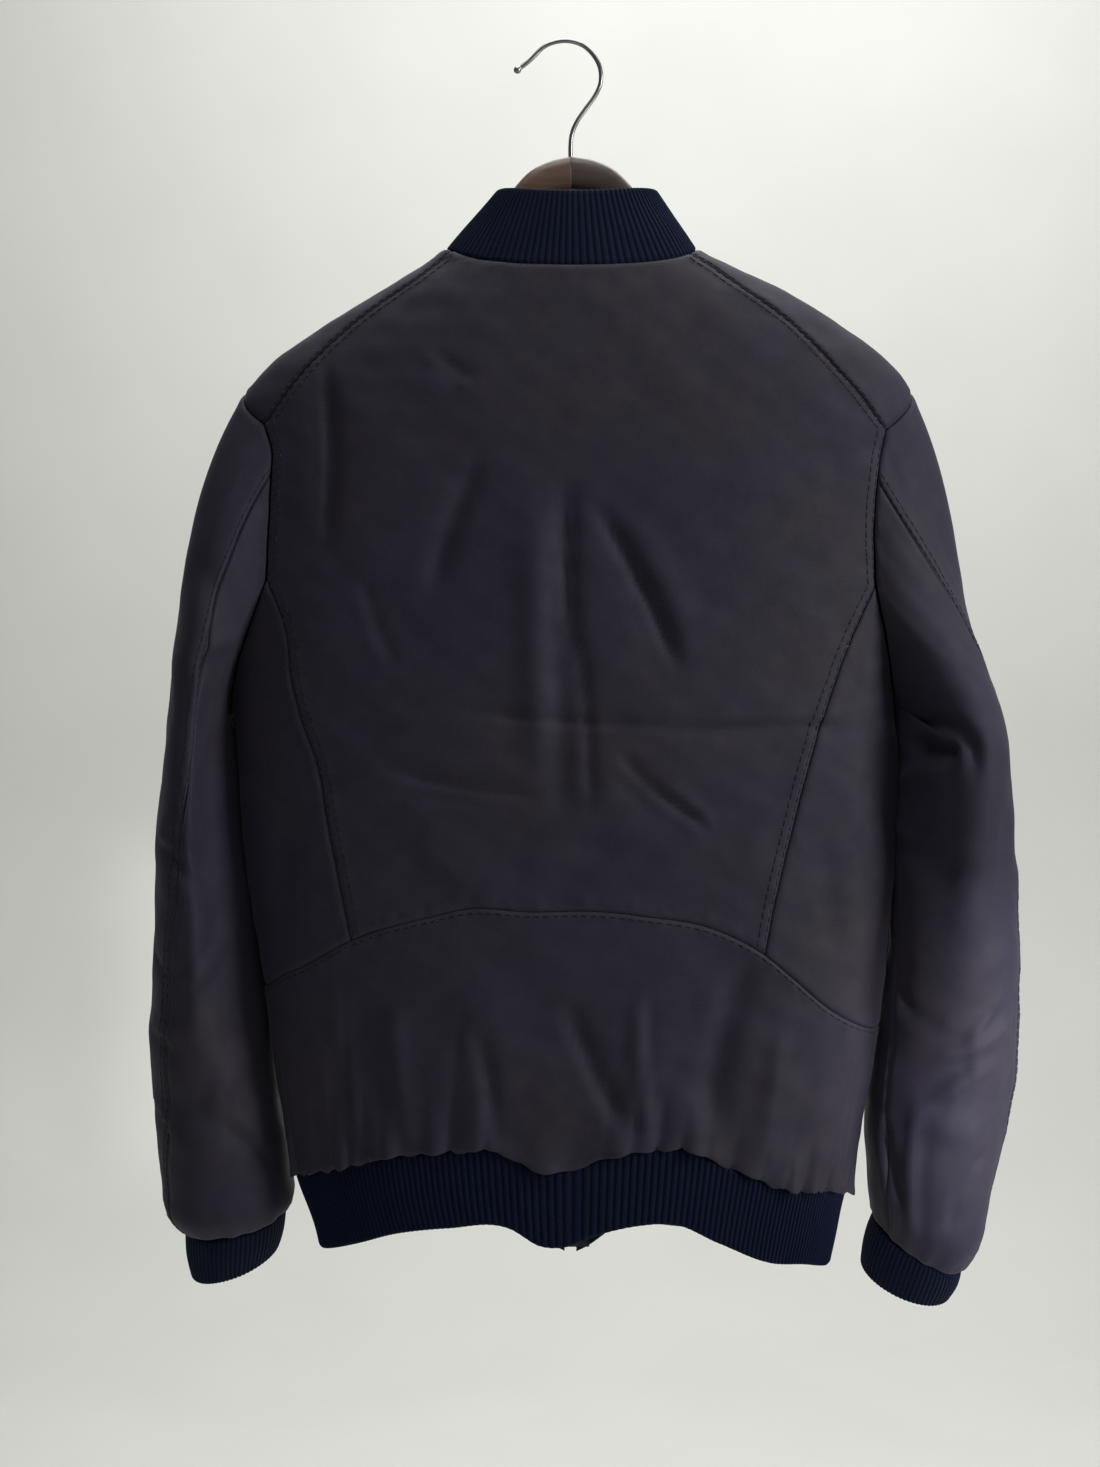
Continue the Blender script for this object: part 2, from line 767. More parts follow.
@dataclass(frozen=True)
class CottonTwill(Finish):
    """Dense cotton twill, yarn-dyed near black and washed: matt, with a dry bloom.

    The cloth is violet-grey where it is clean and browner where it has faded.
    """

    name: str = "cotton_twill_washed"
    clean: str = "#211e2f"
    faded: str = "#26212b"
    dark: str = "#181626"
    worn: str = "#2a2736"
    bloom: str = "#b9b6c6"
    patch: float = 120 * MM
    cloud: float = 17 * MM
    crumple: float = 28 * MM
    slub: float = 3.5 * MM
    rib_of_twill: float = 1.5 * MM
    slant: float = 63.0

    def dress(self, paint: Paint) -> None:
        """Gives the paint its colours and its surface.

        Args:
            paint: the material's paint.
        """
        spot = paint.spot()
        fade = paint.spread(paint.noise(spot, self.patch, 3.0, 0.55), 0.42, 0.64)
        colour = paint.blend(fade, self.clean, self.faded)
        # Small cloudy spots, as dye that has taken unevenly.
        clouds = paint.noise(spot, self.cloud, 5.0, 0.62)
        colour = paint.blend(paint.spread(clouds, 0.35, 0.75, 0.0, 0.55), colour, self.dark)
        # Rubbed paler on the turned edges beside the seams.
        edge = paint.spread(paint.mark("seam_mm"), 1.2, 4.5, 0.5, 0.0)
        colour = paint.blend(edge, colour, self.worn)
        # Real twill ribs are 0.5 mm apart; they are drawn three times as coarse to show.
        ribs = paint.waves(paint.turned(paint.weave(), (0, 0, np.radians(self.slant))),
                           self.rib_of_twill, 0.6, 1.0)
        low = paint.bump(paint.noise(spot, self.crumple, 4.0), 0.3, 1.1 * MM)
        middle = paint.bump(paint.noise(spot, self.slub, 3.0, 0.6), 0.25, 0.3 * MM, low)
        paint.give(
            Base_Color=colour, Roughness=paint.spread(clouds, 0.0, 1.0, 0.66, 0.82),
            Normal=paint.bump(ribs, 0.22, 0.14 * MM, middle), Sheen_Weight=0.07,
            Sheen_Roughness=0.45, Sheen_Tint=linear(self.bloom), Specular_IOR_Level=0.3)


@dataclass(frozen=True)
class RibKnit(Finish):
    """Cotton rib knit, dyed navy: upright cords of small loops, dark between the cords."""

    name: str = "cotton_rib_knit"
    crest: str = "#0c1a3e"
    valley: str = "#020716"
    bloom: str = "#8fa3c4"
    loop: float = 1.5 * MM
    fuzz: float = 1.6 * MM

    def dress(self, paint: Paint) -> None:
        """Gives the paint its colours and its surface.

        Args:
            paint: the material's paint.
        """
        fuzz = paint.noise(paint.spot(), self.fuzz, 3.0, 0.7)
        raised = add_node(paint.tree, "ShaderNodeMath", {
            0: paint.mark("rib"), 1: fuzz, 2: -0.12}, operation="MULTIPLY_ADD")
        # The loops of the knit, one above the other along each cord.
        loops = paint.bump(paint.waves(paint.weave(), self.loop, 1.5, 1.5, "Y"), 0.5, 0.25 * MM)
        paint.give(
            Base_Color=paint.blend(raised.outputs[0], self.valley, self.crest),
            Normal=paint.bump(fuzz, 0.4, 0.2 * MM, loops), Roughness=0.86, Sheen_Weight=0.03,
            Sheen_Roughness=0.5, Sheen_Tint=linear(self.bloom), Specular_IOR_Level=0.12)


@dataclass(frozen=True)
class SewingThread(Finish):
    """Spun polyester sewing thread: a shade paler than the cloth, with a slight lustre."""

    name: str = "polyester_thread"
    pale: str = "#2f2d37"
    dark: str = "#23212a"
    twist: float = 0.6 * MM

    def dress(self, paint: Paint) -> None:
        """Gives the paint its colours and its surface.

        Args:
            paint: the material's paint.
        """
        colour = paint.blend(paint.noise(paint.spot(), self.twist, 1.0), self.dark, self.pale)
        paint.give(Base_Color=colour, Roughness=0.55, Specular_IOR_Level=0.45)


@dataclass(frozen=True)
class ZipTape(Finish):
    """Polyester tape woven in a herringbone: flat, dark and a little smoother than cloth."""

    name: str = "woven_zip_tape"
    pale: str = "#1a1a20"
    dark: str = "#111116"
    rib: float = 1.1 * MM

    def dress(self, paint: Paint) -> None:
        """Gives the paint its colours and its surface.

        Args:
            paint: the material's paint.
        """
        bands = paint.waves(paint.weave(), self.rib, 0.4, bands="DIAGONAL")
        paint.give(Base_Color=paint.blend(bands, self.dark, self.pale), Roughness=0.7,
                   Normal=paint.bump(bands, 0.5, 0.15 * MM))


@dataclass(frozen=True)
class PlatedZinc(Finish):
    """Die-cast zinc, plated dark and tumbled: soft-edged, with rubbed bright spots."""

    name: str = "plated_zinc_tumbled"
    dark: str = "#4b4a49"
    rubbed: str = "#8b8985"
    grain: float = 2.5 * MM

    def dress(self, paint: Paint) -> None:
        """Gives the paint its colours and its surface.

        Args:
            paint: the material's paint.
        """
        wear = paint.noise(paint.spot(), self.grain, 4.0, 0.65)
        colour = paint.blend(paint.spread(wear, 0.45, 0.7), self.dark, self.rubbed)
        paint.give(Base_Color=colour, Roughness=paint.spread(wear, 0.0, 1.0, 0.42, 0.26),
                   Metallic=1.0)


@dataclass(frozen=True)
class DrawnWire(Finish):
    """Steel wire, drawn and plated gunmetal: long fine scratches along the wire."""

    name: str = "steel_wire_gunmetal"
    dark: str = "#7d7b7c"
    pale: str = "#a3a1a2"
    scratch: float = 0.8 * MM

    def dress(self, paint: Paint) -> None:
        """Gives the paint its colours and its surface.

        Args:
            paint: the material's paint.
        """
        drawn = paint.turned(paint.weave(), (0, 0, 0), (1.0, 0.05, 1.0))
        lines = paint.noise(drawn, self.scratch, 3.0)
        paint.give(Base_Color=paint.blend(lines, self.dark, self.pale), Metallic=1.0,
                   Roughness=paint.spread(lines, 0.0, 1.0, 0.2, 0.38))


@dataclass(frozen=True)
class Walnut(Finish):
    """Walnut, sawn, sanded and lacquered satin: straight dark grain under a thin gloss."""

    name: str
    pale: str
    dark: str
    slant: float
    grain: float = 2.6 * MM
    band: float = 14 * MM

    def dress(self, paint: Paint) -> None:
        """Gives the paint its colours and its surface.

        Args:
            paint: the material's paint.
        """
        board = paint.turned(paint.spot(), (0, np.radians(self.slant), 0), (0.09, 1.0, 1.0))
        grain = paint.noise(board, self.grain, 6.0, 0.6, 0.4)
        both = add_node(paint.tree, "ShaderNodeMix", {
            "Factor": 0.45, 2: grain, 3: paint.noise(board, self.band, 2.0)}, data_type="FLOAT")
        shown = paint.spread(both.outputs[0], 0.36, 0.64)
        paint.give(
            Base_Color=paint.blend(shown, self.dark, self.pale), Roughness=0.42,
            Normal=paint.bump(grain, 0.2, 0.15 * MM), Coat_Weight=0.25, Coat_Roughness=0.3)


@dataclass(frozen=True)
class Plaster(Finish):
    """Pale painted plaster for the room behind: matt and slightly uneven."""

    name: str = "painted_plaster"
    pale: str = "#d3d4cf"
    dull: str = "#cbccc6"

    def dress(self, paint: Paint) -> None:
        """Gives the paint its colours and its surface.

        Args:
            paint: the material's paint.
        """
        patches = paint.noise(paint.spot(), 1 / 3, 4.0)
        paint.give(Base_Color=paint.blend(patches, self.pale, self.dull), Roughness=0.9)


TWILL = CottonTwill()
RIB = RibKnit()
THREAD = SewingThread()
TAPE = ZipTape()
ZINC = PlatedZinc()
WIRE = DrawnWire()
WALNUT_LEFT = Walnut("walnut_satin_left", "#6d5546", "#4a382e", -52.0)
WALNUT_RIGHT = Walnut("walnut_satin_right", "#50423b", "#352b28", 50.0)
PLASTER = Plaster()


# ------------------------------------------------------------- the body's surface


@dataclass(frozen=True)
class BodyForm:
    """The surface that the body's panels lie on, with its folds and hem gathers."""

    sections: tuple[Section, ...] = BODY
    hem_seam: tuple[Place, ...] = HEM_SEAM
    yoke_seam: tuple[Place, ...] = YOKE_SEAM
    back_folds: tuple[Fold, ...] = BACK_FOLDS + BACK_CREASES
    front_folds: tuple[Fold, ...] = FRONT_FOLDS + FRONT_CREASES
    neck_side_height: float = -147 * MM
    neck_back_drop: float = 20 * MM
    neck_front_drop: float = 78 * MM
    hem_front_height: float = -807 * MM
    hem_front_rise: float = 12 * MM
    hem_front_lift: float = 7 * MM
    hem_front_drop: float = 24 * MM
    hem_front_drop_reach: float = 50 * MM
    hem_level: float = -785 * MM
    yoke_level: float = -630 * MM
    gather_rise: float = 46 * MM
    gather_depth: float = 1.8 * MM
    gather_waves: int = 15
    broad_swell: float = 70 * MM
    fine_swell: float = 26 * MM
    pinches: int = 31
    pinch_depth: float = 4.4 * MM
    pinch_scallop: float = 2.2 * MM
    pinch_round: float = 0.6
    hem_reach: tuple[float, float] = (-0.2, 0.19)

    def reach(self, height: Array, name: str) -> Array:
        """One column of the sections at each height, in metres."""
        return table_curve(self.sections, "height", name, height / MM) * MM

    def form(self, turn: Array, height: Array) -> Array:
        """The body's points without folds.

        Args:
            turn: each point's turn in degrees.
            height: each point's height in metres.

        Returns:
            The points.
        """
        angle = np.radians(turn)
        cosine, sine = np.cos(angle), np.sin(angle)
        power = 2 / (self.reach(height, "square") / MM)
        side = np.where(cosine >= 0, self.reach(height, "left"), self.reach(height, "right"))
        depth = np.where(sine >= 0, self.reach(height, "back"), self.reach(height, "front"))
        x = BODY_MIDDLE + np.abs(side - BODY_MIDDLE) * signed_power(cosine, power)
        y = depth * signed_power(sine, power)
        return np.stack(np.broadcast_arrays(x, y, height), axis=-1)

    def outward(self, turn: Array, height: Array) -> Array:
        """The way straight out of the unfolded body at each place.

        Args:
            turn: each point's turn in degrees.
            height: each point's height in metres.

        Returns:
            The ways, each one long.
        """
        around = self.form(turn + 0.4, height) - self.form(turn - 0.4, height)
        upward = self.form(turn, height + 0.8 * MM) - self.form(turn, height - 0.8 * MM)
        return unit(np.cross(around, upward))

    def turn_of(self, across: Array, height: Array, front: bool = False) -> Array:
        """The turn of a place that is known by its side-to-side place.

        Args:
            across: the side-to-side place in metres.
            height: the height in metres.
            front: whether it lies on the front.

        Returns:
            The turn in degrees, negative on the front.
        """
        limit = np.where(across >= BODY_MIDDLE, self.reach(height, "left"),
                         self.reach(height, "right"))
        share = np.clip((across - BODY_MIDDLE) / np.abs(limit - BODY_MIDDLE), -1, 1)
        power = self.reach(height, "square") / MM / 2
        turn = np.degrees(np.arccos(signed_power(share, power)))
        return -turn if front else turn

    def hem_height(self, turn: Array) -> Array:
        """The height of the seam between cloth and hem rib, round the body.

        Args:
            turn: the turns in degrees.

        Returns:
            The heights in metres.
        """
        across = self.form(turn, np.full(np.shape(turn), self.hem_level))[..., 0]
        seam = table_curve(self.hem_seam, "across", "height", across / MM) * MM
        sine = np.sin(np.radians(turn))
        share = np.clip((across - self.hem_reach[0]) / np.ptp(self.hem_reach), 0, 1)
        front = (self.hem_front_height + self.hem_front_rise * share
                 + self.hem_front_lift * np.sin(np.pi * share))
        dip = eased(1 - np.abs(across - BODY_MIDDLE) / self.hem_front_drop_reach)
        return np.where(sine >= 0, seam, front - self.hem_front_drop * dip)

    def yoke_height(self, turn: Array) -> Array:
        """The height of the curved yoke seam across the back.

        Args:
            turn: the turns in degrees.

        Returns:
            The heights in metres.
        """
        across = self.form(turn, np.full(np.shape(turn), self.yoke_level))[..., 0]
        return table_curve(self.yoke_seam, "across", "height", across / MM) * MM

    def neck_height(self, turn: Array) -> Array:
        """The height of the neck seam, round the body.

        Args:
            turn: the turns in degrees.

        Returns:
            The heights in metres.
        """
        sine = np.sin(np.radians(turn))
        return self.neck_side_height - np.where(
            sine >= 0, self.neck_back_drop * sine**2, self.neck_front_drop * np.abs(sine) ** 3)

    def surface(self, turn: Array, height: Array) -> Array:
        """The cloth's outer points with folds, gathers and a slight rumple.

        Args:
            turn: each point's turn in degrees.
            height: each point's height in metres.

        Returns:
            The points.
        """
        turn, height = np.broadcast_arrays(np.asarray(turn, float), np.asarray(height, float))
        form = self.form(turn, height)
        x, z = form[..., 0] / MM, height / MM
        angle = np.radians(turn)
        sine = np.sin(angle)
        lift = eased(sine * 3) * fold_sum(self.back_folds, x, z)
        lift = lift + eased(-sine * 3) * fold_sum(self.front_folds, x, z)
        above = (height - self.hem_height(turn)) / self.gather_rise
        fullness = np.where(above > 0, 1 - eased(above), 0) * eased(sine * 4 + 0.3)
        wave = np.sin(angle * 2 * self.gather_waves + 1.2 * np.sin(angle * 5))
        lift = lift + self.gather_depth * fullness * (wave + 0.6)
        # The hem seam pinches the cloth into short puffs with sharp valleys between them.
        sideways = np.sin(angle * self.pinches + 1.1 * np.sin(angle * 7) - 0.9 * above)
        puff = np.abs(sideways) ** self.pinch_round
        # Uneven sines keep the puffs from all being as high and as deep.
        reach = 2.1 + 1.2 * np.sin(angle * 13 + 1)
        sharp = np.where(above > -0.01, np.exp(-np.maximum(above, 0) * reach), 0)
        sharp = sharp * (0.7 + 0.3 * np.sin(angle * 11)) * (0.25 + 0.75 * eased(sine * 4))
        lift = lift + self.pinch_depth * sharp * (puff - 0.12)
        lift = lift + BROAD_RUMPLE * rumple(form, self.broad_swell, 3)
        lift = lift + FINE_RUMPLE * rumple(form, self.fine_swell, 8)
        made = form + self.outward(turn, height) * lift[..., None]
        made[..., 2] -= self.pinch_scallop * sharp**2 * (puff - 0.3)
        return made


BODY_FORM = BodyForm()


@dataclass(frozen=True)
class Half:
    """One half of the jacket: its seams, and how its turns run from its own side."""

    name: str
    sign: int
    shoulder: tuple[Place, ...]
    armhole_back: tuple[Place, ...]
    armhole_front: tuple[Place, ...]
    princess: tuple[Place, ...]
    side_seam_turn: float = -6.0
    underarm: float = -468 * MM
    underarm_bend: float = 33 * MM
    tip: float = -246 * MM

    @property
    def junction(self) -> float:
        """The height where the princess seam meets the armhole."""
        return self.princess[0].height * MM

    @property
    def corner(self) -> float:
        """The height where the shoulder seam meets the armhole."""
        return self.shoulder[-1].height * MM

    def turned(self, turn: Array) -> Array:
        """Makes a turn from this half's own side seam a turn of the body."""
        return turn if self.sign > 0 else 180 - turn

    def seam_turn(self, seam: tuple[Place, ...], height: Array, front: bool = False) -> Array:
        """A seam's turn from this half's own side.

        Args:
            seam: the seam's places.
            height: the heights at which it is read.
            front: whether the seam lies on the front.

        Returns:
            The turns, negative on the front.
        """
        across = table_curve(seam, "height", "across", height / MM) * MM
        turn = BODY_FORM.turn_of(across, height, front)
        if self.sign > 0:
            return turn
        return -180 - turn if front else 180 - turn

    def shoulder_top(self) -> tuple[float, float]:
        """The turn and height where the shoulder seam meets the neck seam.

        Returns:
            The turn from this half's own side, and the height in metres.
        """
        turn, first = 0.0, self.shoulder[0].height * MM
        for _ in range(12):
            height = BODY_FORM.neck_height(np.array(self.turned(turn)))
            turn = float(self.seam_turn(self.shoulder, np.minimum(height, first)))
        return turn, float(BODY_FORM.neck_height(np.array(self.turned(turn))))

    def shoulder_turn(self, height: Array) -> Array:
        """The shoulder seam's turn, from the armhole up to the neck seam.

        Args:
            height: the heights in metres.

        Returns:
            The turns from this half's own side.
        """
        top_turn, top_height = self.shoulder_top()
        low = self.shoulder[1].height * MM
        seam = self.seam_turn(self.shoulder, np.minimum(height, low))
        part = np.clip((height - low) / (top_height - low), 0, 1)
        return seam + (top_turn - seam) * part

    def front_armhole_turn(self, height: Array) -> Array:
        """The turn of the front armhole seam, from the underarm up to the shoulder's tip.

        Args:
            height: the heights in metres.

        Returns:
            The turns from this half's own side.
        """
        seam = self.seam_turn(self.armhole_front, height, True)
        near = np.clip((height - self.underarm) / self.underarm_bend, 0, 1)
        return self.side_seam_turn * (1 - near) + seam * near


LEFT = Half("left", 1, SHOULDER_LEFT, ARMHOLE_BACK_LEFT, ARMHOLE_FRONT_LEFT, PRINCESS_LEFT)
RIGHT = Half("right", -1, SHOULDER_RIGHT, ARMHOLE_BACK_RIGHT, ARMHOLE_FRONT_RIGHT, PRINCESS_RIGHT)

# ------------------------------------------------------------------ cloth pieces


class Side(Enum):
    """A border of a laid-out grid."""

    FIRST_COLUMN = "l"
    LAST_COLUMN = "r"
    FIRST_ROW = "b"
    LAST_ROW = "t"


@dataclass(frozen=True)
class SeamStyle:
    """How the cloth lies beside a seam: turned in, swollen over its allowance, puckered."""

    turn_in: float = 1.0 * MM
    turn_in_width: float = 1.3 * MM
    swell: float = 0.35 * MM
    swell_at: float = 5.0 * MM
    swell_width: float = 3.6 * MM
    pucker: float = 0.5 * MM
    pucker_at: float = 5.0 * MM
    pucker_width: float = 2.8 * MM
    pucker_length: float = 17 * MM


class Sheet:
    """Points of a piece of cloth in rows and columns, worked beside its seams."""

    def __init__(self, points: Array, facing: Array, seams: str = "lrbt",
                 seed: int = 1, style: SeamStyle = SeamStyle()) -> None:
        """Takes the points and works them beside their seams.

        Args:
            points: rows, columns and three coordinates.
            facing: roughly the way out of the garment, at each point or for all.
            seams: which borders are seams, by the letters of Side.
            seed: picks how the puckers fall.
            style: how the cloth lies beside the seams.
        """
        self.normals = grid_normals(points, facing)
        across, upward = lengths_along(points, 1), lengths_along(points, 0)
        self.distance = {
            Side.FIRST_COLUMN: across, Side.LAST_COLUMN: across[:, -1:] - across,
            Side.FIRST_ROW: upward, Side.LAST_ROW: upward[-1:] - upward}
        self.beside = np.ones(points.shape[:2])
        lift = np.zeros(points.shape[:2])
        shift = np.zeros_like(points)
        for order, side in enumerate(Side):
            if side.value not in seams:
                continue
            away = self.distance[side]
            along = upward if side in (Side.FIRST_COLUMN, Side.LAST_COLUMN) else across
            lift -= style.turn_in * np.exp(-((away / style.turn_in_width) ** 2))
            lift += style.swell * np.exp(-(((away - style.swell_at) / style.swell_width) ** 2))
            wave = wander(along, style.pucker_length, seed * 7 + order)
            near = np.exp(-(((away - style.pucker_at) / style.pucker_width) ** 2))
            lift += style.pucker * near * wave
            self.beside = np.minimum(self.beside, away)
        borders = {"l": np.s_[:, 0], "r": np.s_[:, -1], "b": np.s_[0], "t": np.s_[-1]}
        inside = {"l": np.s_[:, 1], "r": np.s_[:, -2], "b": np.s_[1], "t": np.s_[-2]}
        for side in seams:
            way = unit(points[inside[side]] - points[borders[side]])
            shift[borders[side]] += SEAM_GAP / 2 * way
        self.points = points + shift + self.normals * lift[..., None]

    def line(self, side: Side, away: float) -> tuple[Array, Array]:
        """The line that runs at one distance from a border, as a row of stitches does.

        Args:
            side: the border.
            away: the distance from it, in metres.

        Returns:
            The line's points and the ways out of the cloth there.
        """
        points, normals, gap = self.points, self.normals, self.distance[side]
        if side in (Side.FIRST_ROW, Side.LAST_ROW):
            points, normals, gap = points.swapaxes(0, 1), normals.swapaxes(0, 1), gap.T
        if side in (Side.LAST_COLUMN, Side.LAST_ROW):
            points, normals, gap = points[:, ::-1], normals[:, ::-1], gap[:, ::-1]
        place = (gap > away).argmax(axis=1)
        rows = np.arange(len(points))
        low, high = gap[rows, place - 1], gap[rows, place]
        part = ((away - low) / np.maximum(high - low, 1e-9))[:, None]
        found = points[rows, place - 1] * (1 - part) + points[rows, place] * part
        return found, normals[rows, place]


@dataclass(frozen=True)
class Cut:
    """A cloth piece as it was cut: its flat size and area, and what it hangs from."""

    width: float
    length: float
    area: float | None = None
    rests_on: tuple[str, ...] = ()


def enter(piece: bpy.types.Object, node: str | None = None,
          rider: str = "root") -> bpy.types.Object:
    """Declares a finished piece to the frame.

    Args:
        piece: the finished object.
        node: the node that it stands for.
        rider: the body that it moves with.

    Returns:
        The same object.
    """
    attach(piece, rider)
    if node:
        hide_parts(node)
    LOG.info("%s: %d faces", piece.name, len(piece.data.polygons))
    return piece


def link_mesh(name: str, made: Mesh, finish: Finish) -> bpy.types.Object:
    """Turns a bmesh into a smooth-shaded object in the scene.

    Args:
        name: the object's name.
        made: the finished bmesh, which is freed.
        finish: its finish.

    Returns:
        The object.
    """
    data = bpy.data.meshes.new(name)
    made.to_mesh(data)
    made.free()
    data.shade_smooth()
    data.materials.append(finish.material())
    piece = bpy.data.objects.new(name, data)
    bpy.context.scene.collection.objects.link(piece)
    return piece


def lay_grids(grids: list[Array], outward: Array, weld: bool = True,
              marks: dict[str, list[Array]] | None = None) -> Mesh:
    """Lays plain grids in the places given and joins them where they meet.

    Args:
        grids: each grid's points, in rows and columns.
        outward: about which way the first grid's middle faces.
        weld: whether points that coincide are joined.
        marks: for each attribute, its value at every point of every grid.

    Returns:
        The mesh, facing outwards, with the UV map cloth in metres.
    """
    made = bmesh.new()
    layers = {name: made.verts.layers.float.new(name) for name in marks or {}}
    flat = made.verts.layers.float_vector.new("flat_place")
    start = 0
    for order, points in enumerate(grids):
        rows, columns = points.shape[:2]
        bmesh.ops.create_grid(made, x_segments=columns - 1, y_segments=rows - 1, size=1)
        made.verts.ensure_lookup_table()
        across, upward = lengths_along(points, 1), lengths_along(points, 0)
        across = across - across[:, columns // 2][:, None]
        places = np.stack([across, upward, np.full_like(across, order)], axis=-1)
        values = {name: (marks or {})[name][order].ravel() for name in layers}
        for place, vert in enumerate(made.verts[start:]):
            vert.co = points.reshape(-1, 3)[place]
            vert[flat] = places.reshape(-1, 3)[place]
            for name, layer in layers.items():
                vert[layer] = values[name][place]
        start = len(made.verts)
    cloth = made.loops.layers.uv.new("cloth")
    for face in made.faces:
        for loop in face.loops:
            loop[cloth].uv = loop.vert[flat].xy
    made.verts.layers.float_vector.remove(flat)
    if weld:
        bmesh.ops.remove_doubles(made, verts=made.verts[:], dist=5e-6)
    bmesh.ops.recalc_face_normals(made, faces=made.faces[:])
    rows, columns = grids[0].shape[:2]
    middle = Vector(grids[0][rows // 2, columns // 2])
    nearest = min(made.faces, key=lambda face: (face.calc_center_median() - middle).length)
    if nearest.normal.dot(Vector(outward)) < 0:
        bmesh.ops.reverse_faces(made, faces=made.faces[:])
    return made


def closed_tube(rings: Array, outward: Array) -> Mesh:
    """A closed solid through rings of points, with its two ends filled.

    Args:
        rings: the rings, each with its first point again at its end.
        outward: about which way the middle of the grid faces.

    Returns:
        The mesh.
    """
    made = lay_grids([rings], outward)
    rim = [edge for edge in made.edges if edge.is_boundary]
    bmesh.ops.holes_fill(made, edges=rim)
    bmesh.ops.recalc_face_normals(made, faces=made.faces[:])
    return made


def round_edges(made: Mesh, edges: list[bmesh.types.BMEdge], reach: float,
                segments: int = 2) -> None:
    """Rounds edges of a mesh, out to the reach given."""
    bmesh.ops.bevel(made, geom=edges, offset=reach, offset_type="OFFSET", segments=segments,
                    profile=0.5, affect="EDGES", material=-1)


def thicken(piece: bpy.types.Object, wall: float) -> bpy.types.Object:
    """Gives a sheet its thickness, inwards from the side that shows.

    Args:
        piece: the sheet.
        wall: its thickness in metres.

    Returns:
        The same object.
    """
    solid = piece.modifiers.new("cloth wall", "SOLIDIFY")
    solid.thickness = wall
    solid.offset = -1
    solid.use_quality_normals = True
    return piece


def cloth_piece(name: str, sheets: list[Sheet], facing: Array) -> None:
    """Args:
        name: the node that it stands for.
        sheets: its sheets.
        facing: about which way the first sheet's middle faces.
    """
    marks = {"seam_mm": [sheet.beside / MM for sheet in sheets]}
    made = lay_grids([sheet.points for sheet in sheets], facing, len(sheets) > 1, marks)
    piece = thicken(link_mesh(name + "_cloth", made, TWILL), CLOTH_WALL)
    enter(piece, name)


def add_shape(made: Mesh, shape: Mesh, place: Matrix = Matrix.Identity(4)) -> None:
    """Copies a shape into a mesh.

    Args:
        made: the mesh that takes the copy.
        shape: the shape, which stays as it is.
        place: where the copy goes.
    """
    spare = bpy.data.meshes.new("spare")
    shape.to_mesh(spare)
    before = len(made.verts)
    made.from_mesh(spare)
    made.verts.ensure_lookup_table()
    bmesh.ops.transform(made, matrix=place, verts=made.verts[before:])
    bpy.data.meshes.remove(spare)


def sew(made: Mesh, line: Array, normals: Array, pitch: float = 3.2 * MM,
        length: float = 2.5 * MM, thread: float = 0.3 * MM) -> None:
    """Lays a row of stitches along a line on the cloth.

    Args:
        made: the mesh that takes the stitches.
        line: the line's points.
        normals: the ways out of the cloth there.
        pitch: from one stitch to the next.
        length: each stitch's length.
        thread: the thread's radius.
    """
    places = lengths_along(line, 0)
    stops = np.arange(pitch, places[-1] - pitch, pitch)
    spots = np.stack([np.interp(stops, places, line[:, axis]) for axis in range(3)], axis=-1)
    ahead = np.stack([np.interp(stops + pitch / 2, places, line[:, axis]) for axis in range(3)],
                     axis=-1)
    ups = np.stack([np.interp(stops, places, normals[:, axis]) for axis in range(3)], axis=-1)
    row = bmesh.new()
    bmesh.ops.create_uvsphere(row, u_segments=6, v_segments=4, radius=1.0)
    stitch = np.array([vert.co for vert in row.verts])
    while len(row.verts) < len(stitch) * len(stops):
        bmesh.ops.duplicate(row, geom=row.verts[:] + row.edges[:] + row.faces[:])
    row.verts.ensure_lookup_table()
    bmesh.ops.delete(row, geom=row.verts[len(stitch) * len(stops):], context="VERTS")
    ways, outs = unit(ahead - spots), unit(ups)
    asides = unit(np.cross(outs, ways))
    turned = np.stack([ways * length / 2, asides * thread, np.cross(ways, asides) * thread], axis=1)
    placed = (spots + outs * thread * 0.5)[:, None] + stitch @ turned
    for vert, place in zip(row.verts, placed.reshape(-1, 3)):
        vert.co = place
    add_shape(made, row)
    row.free()


# --------------------------------------------------------------- the body's panels


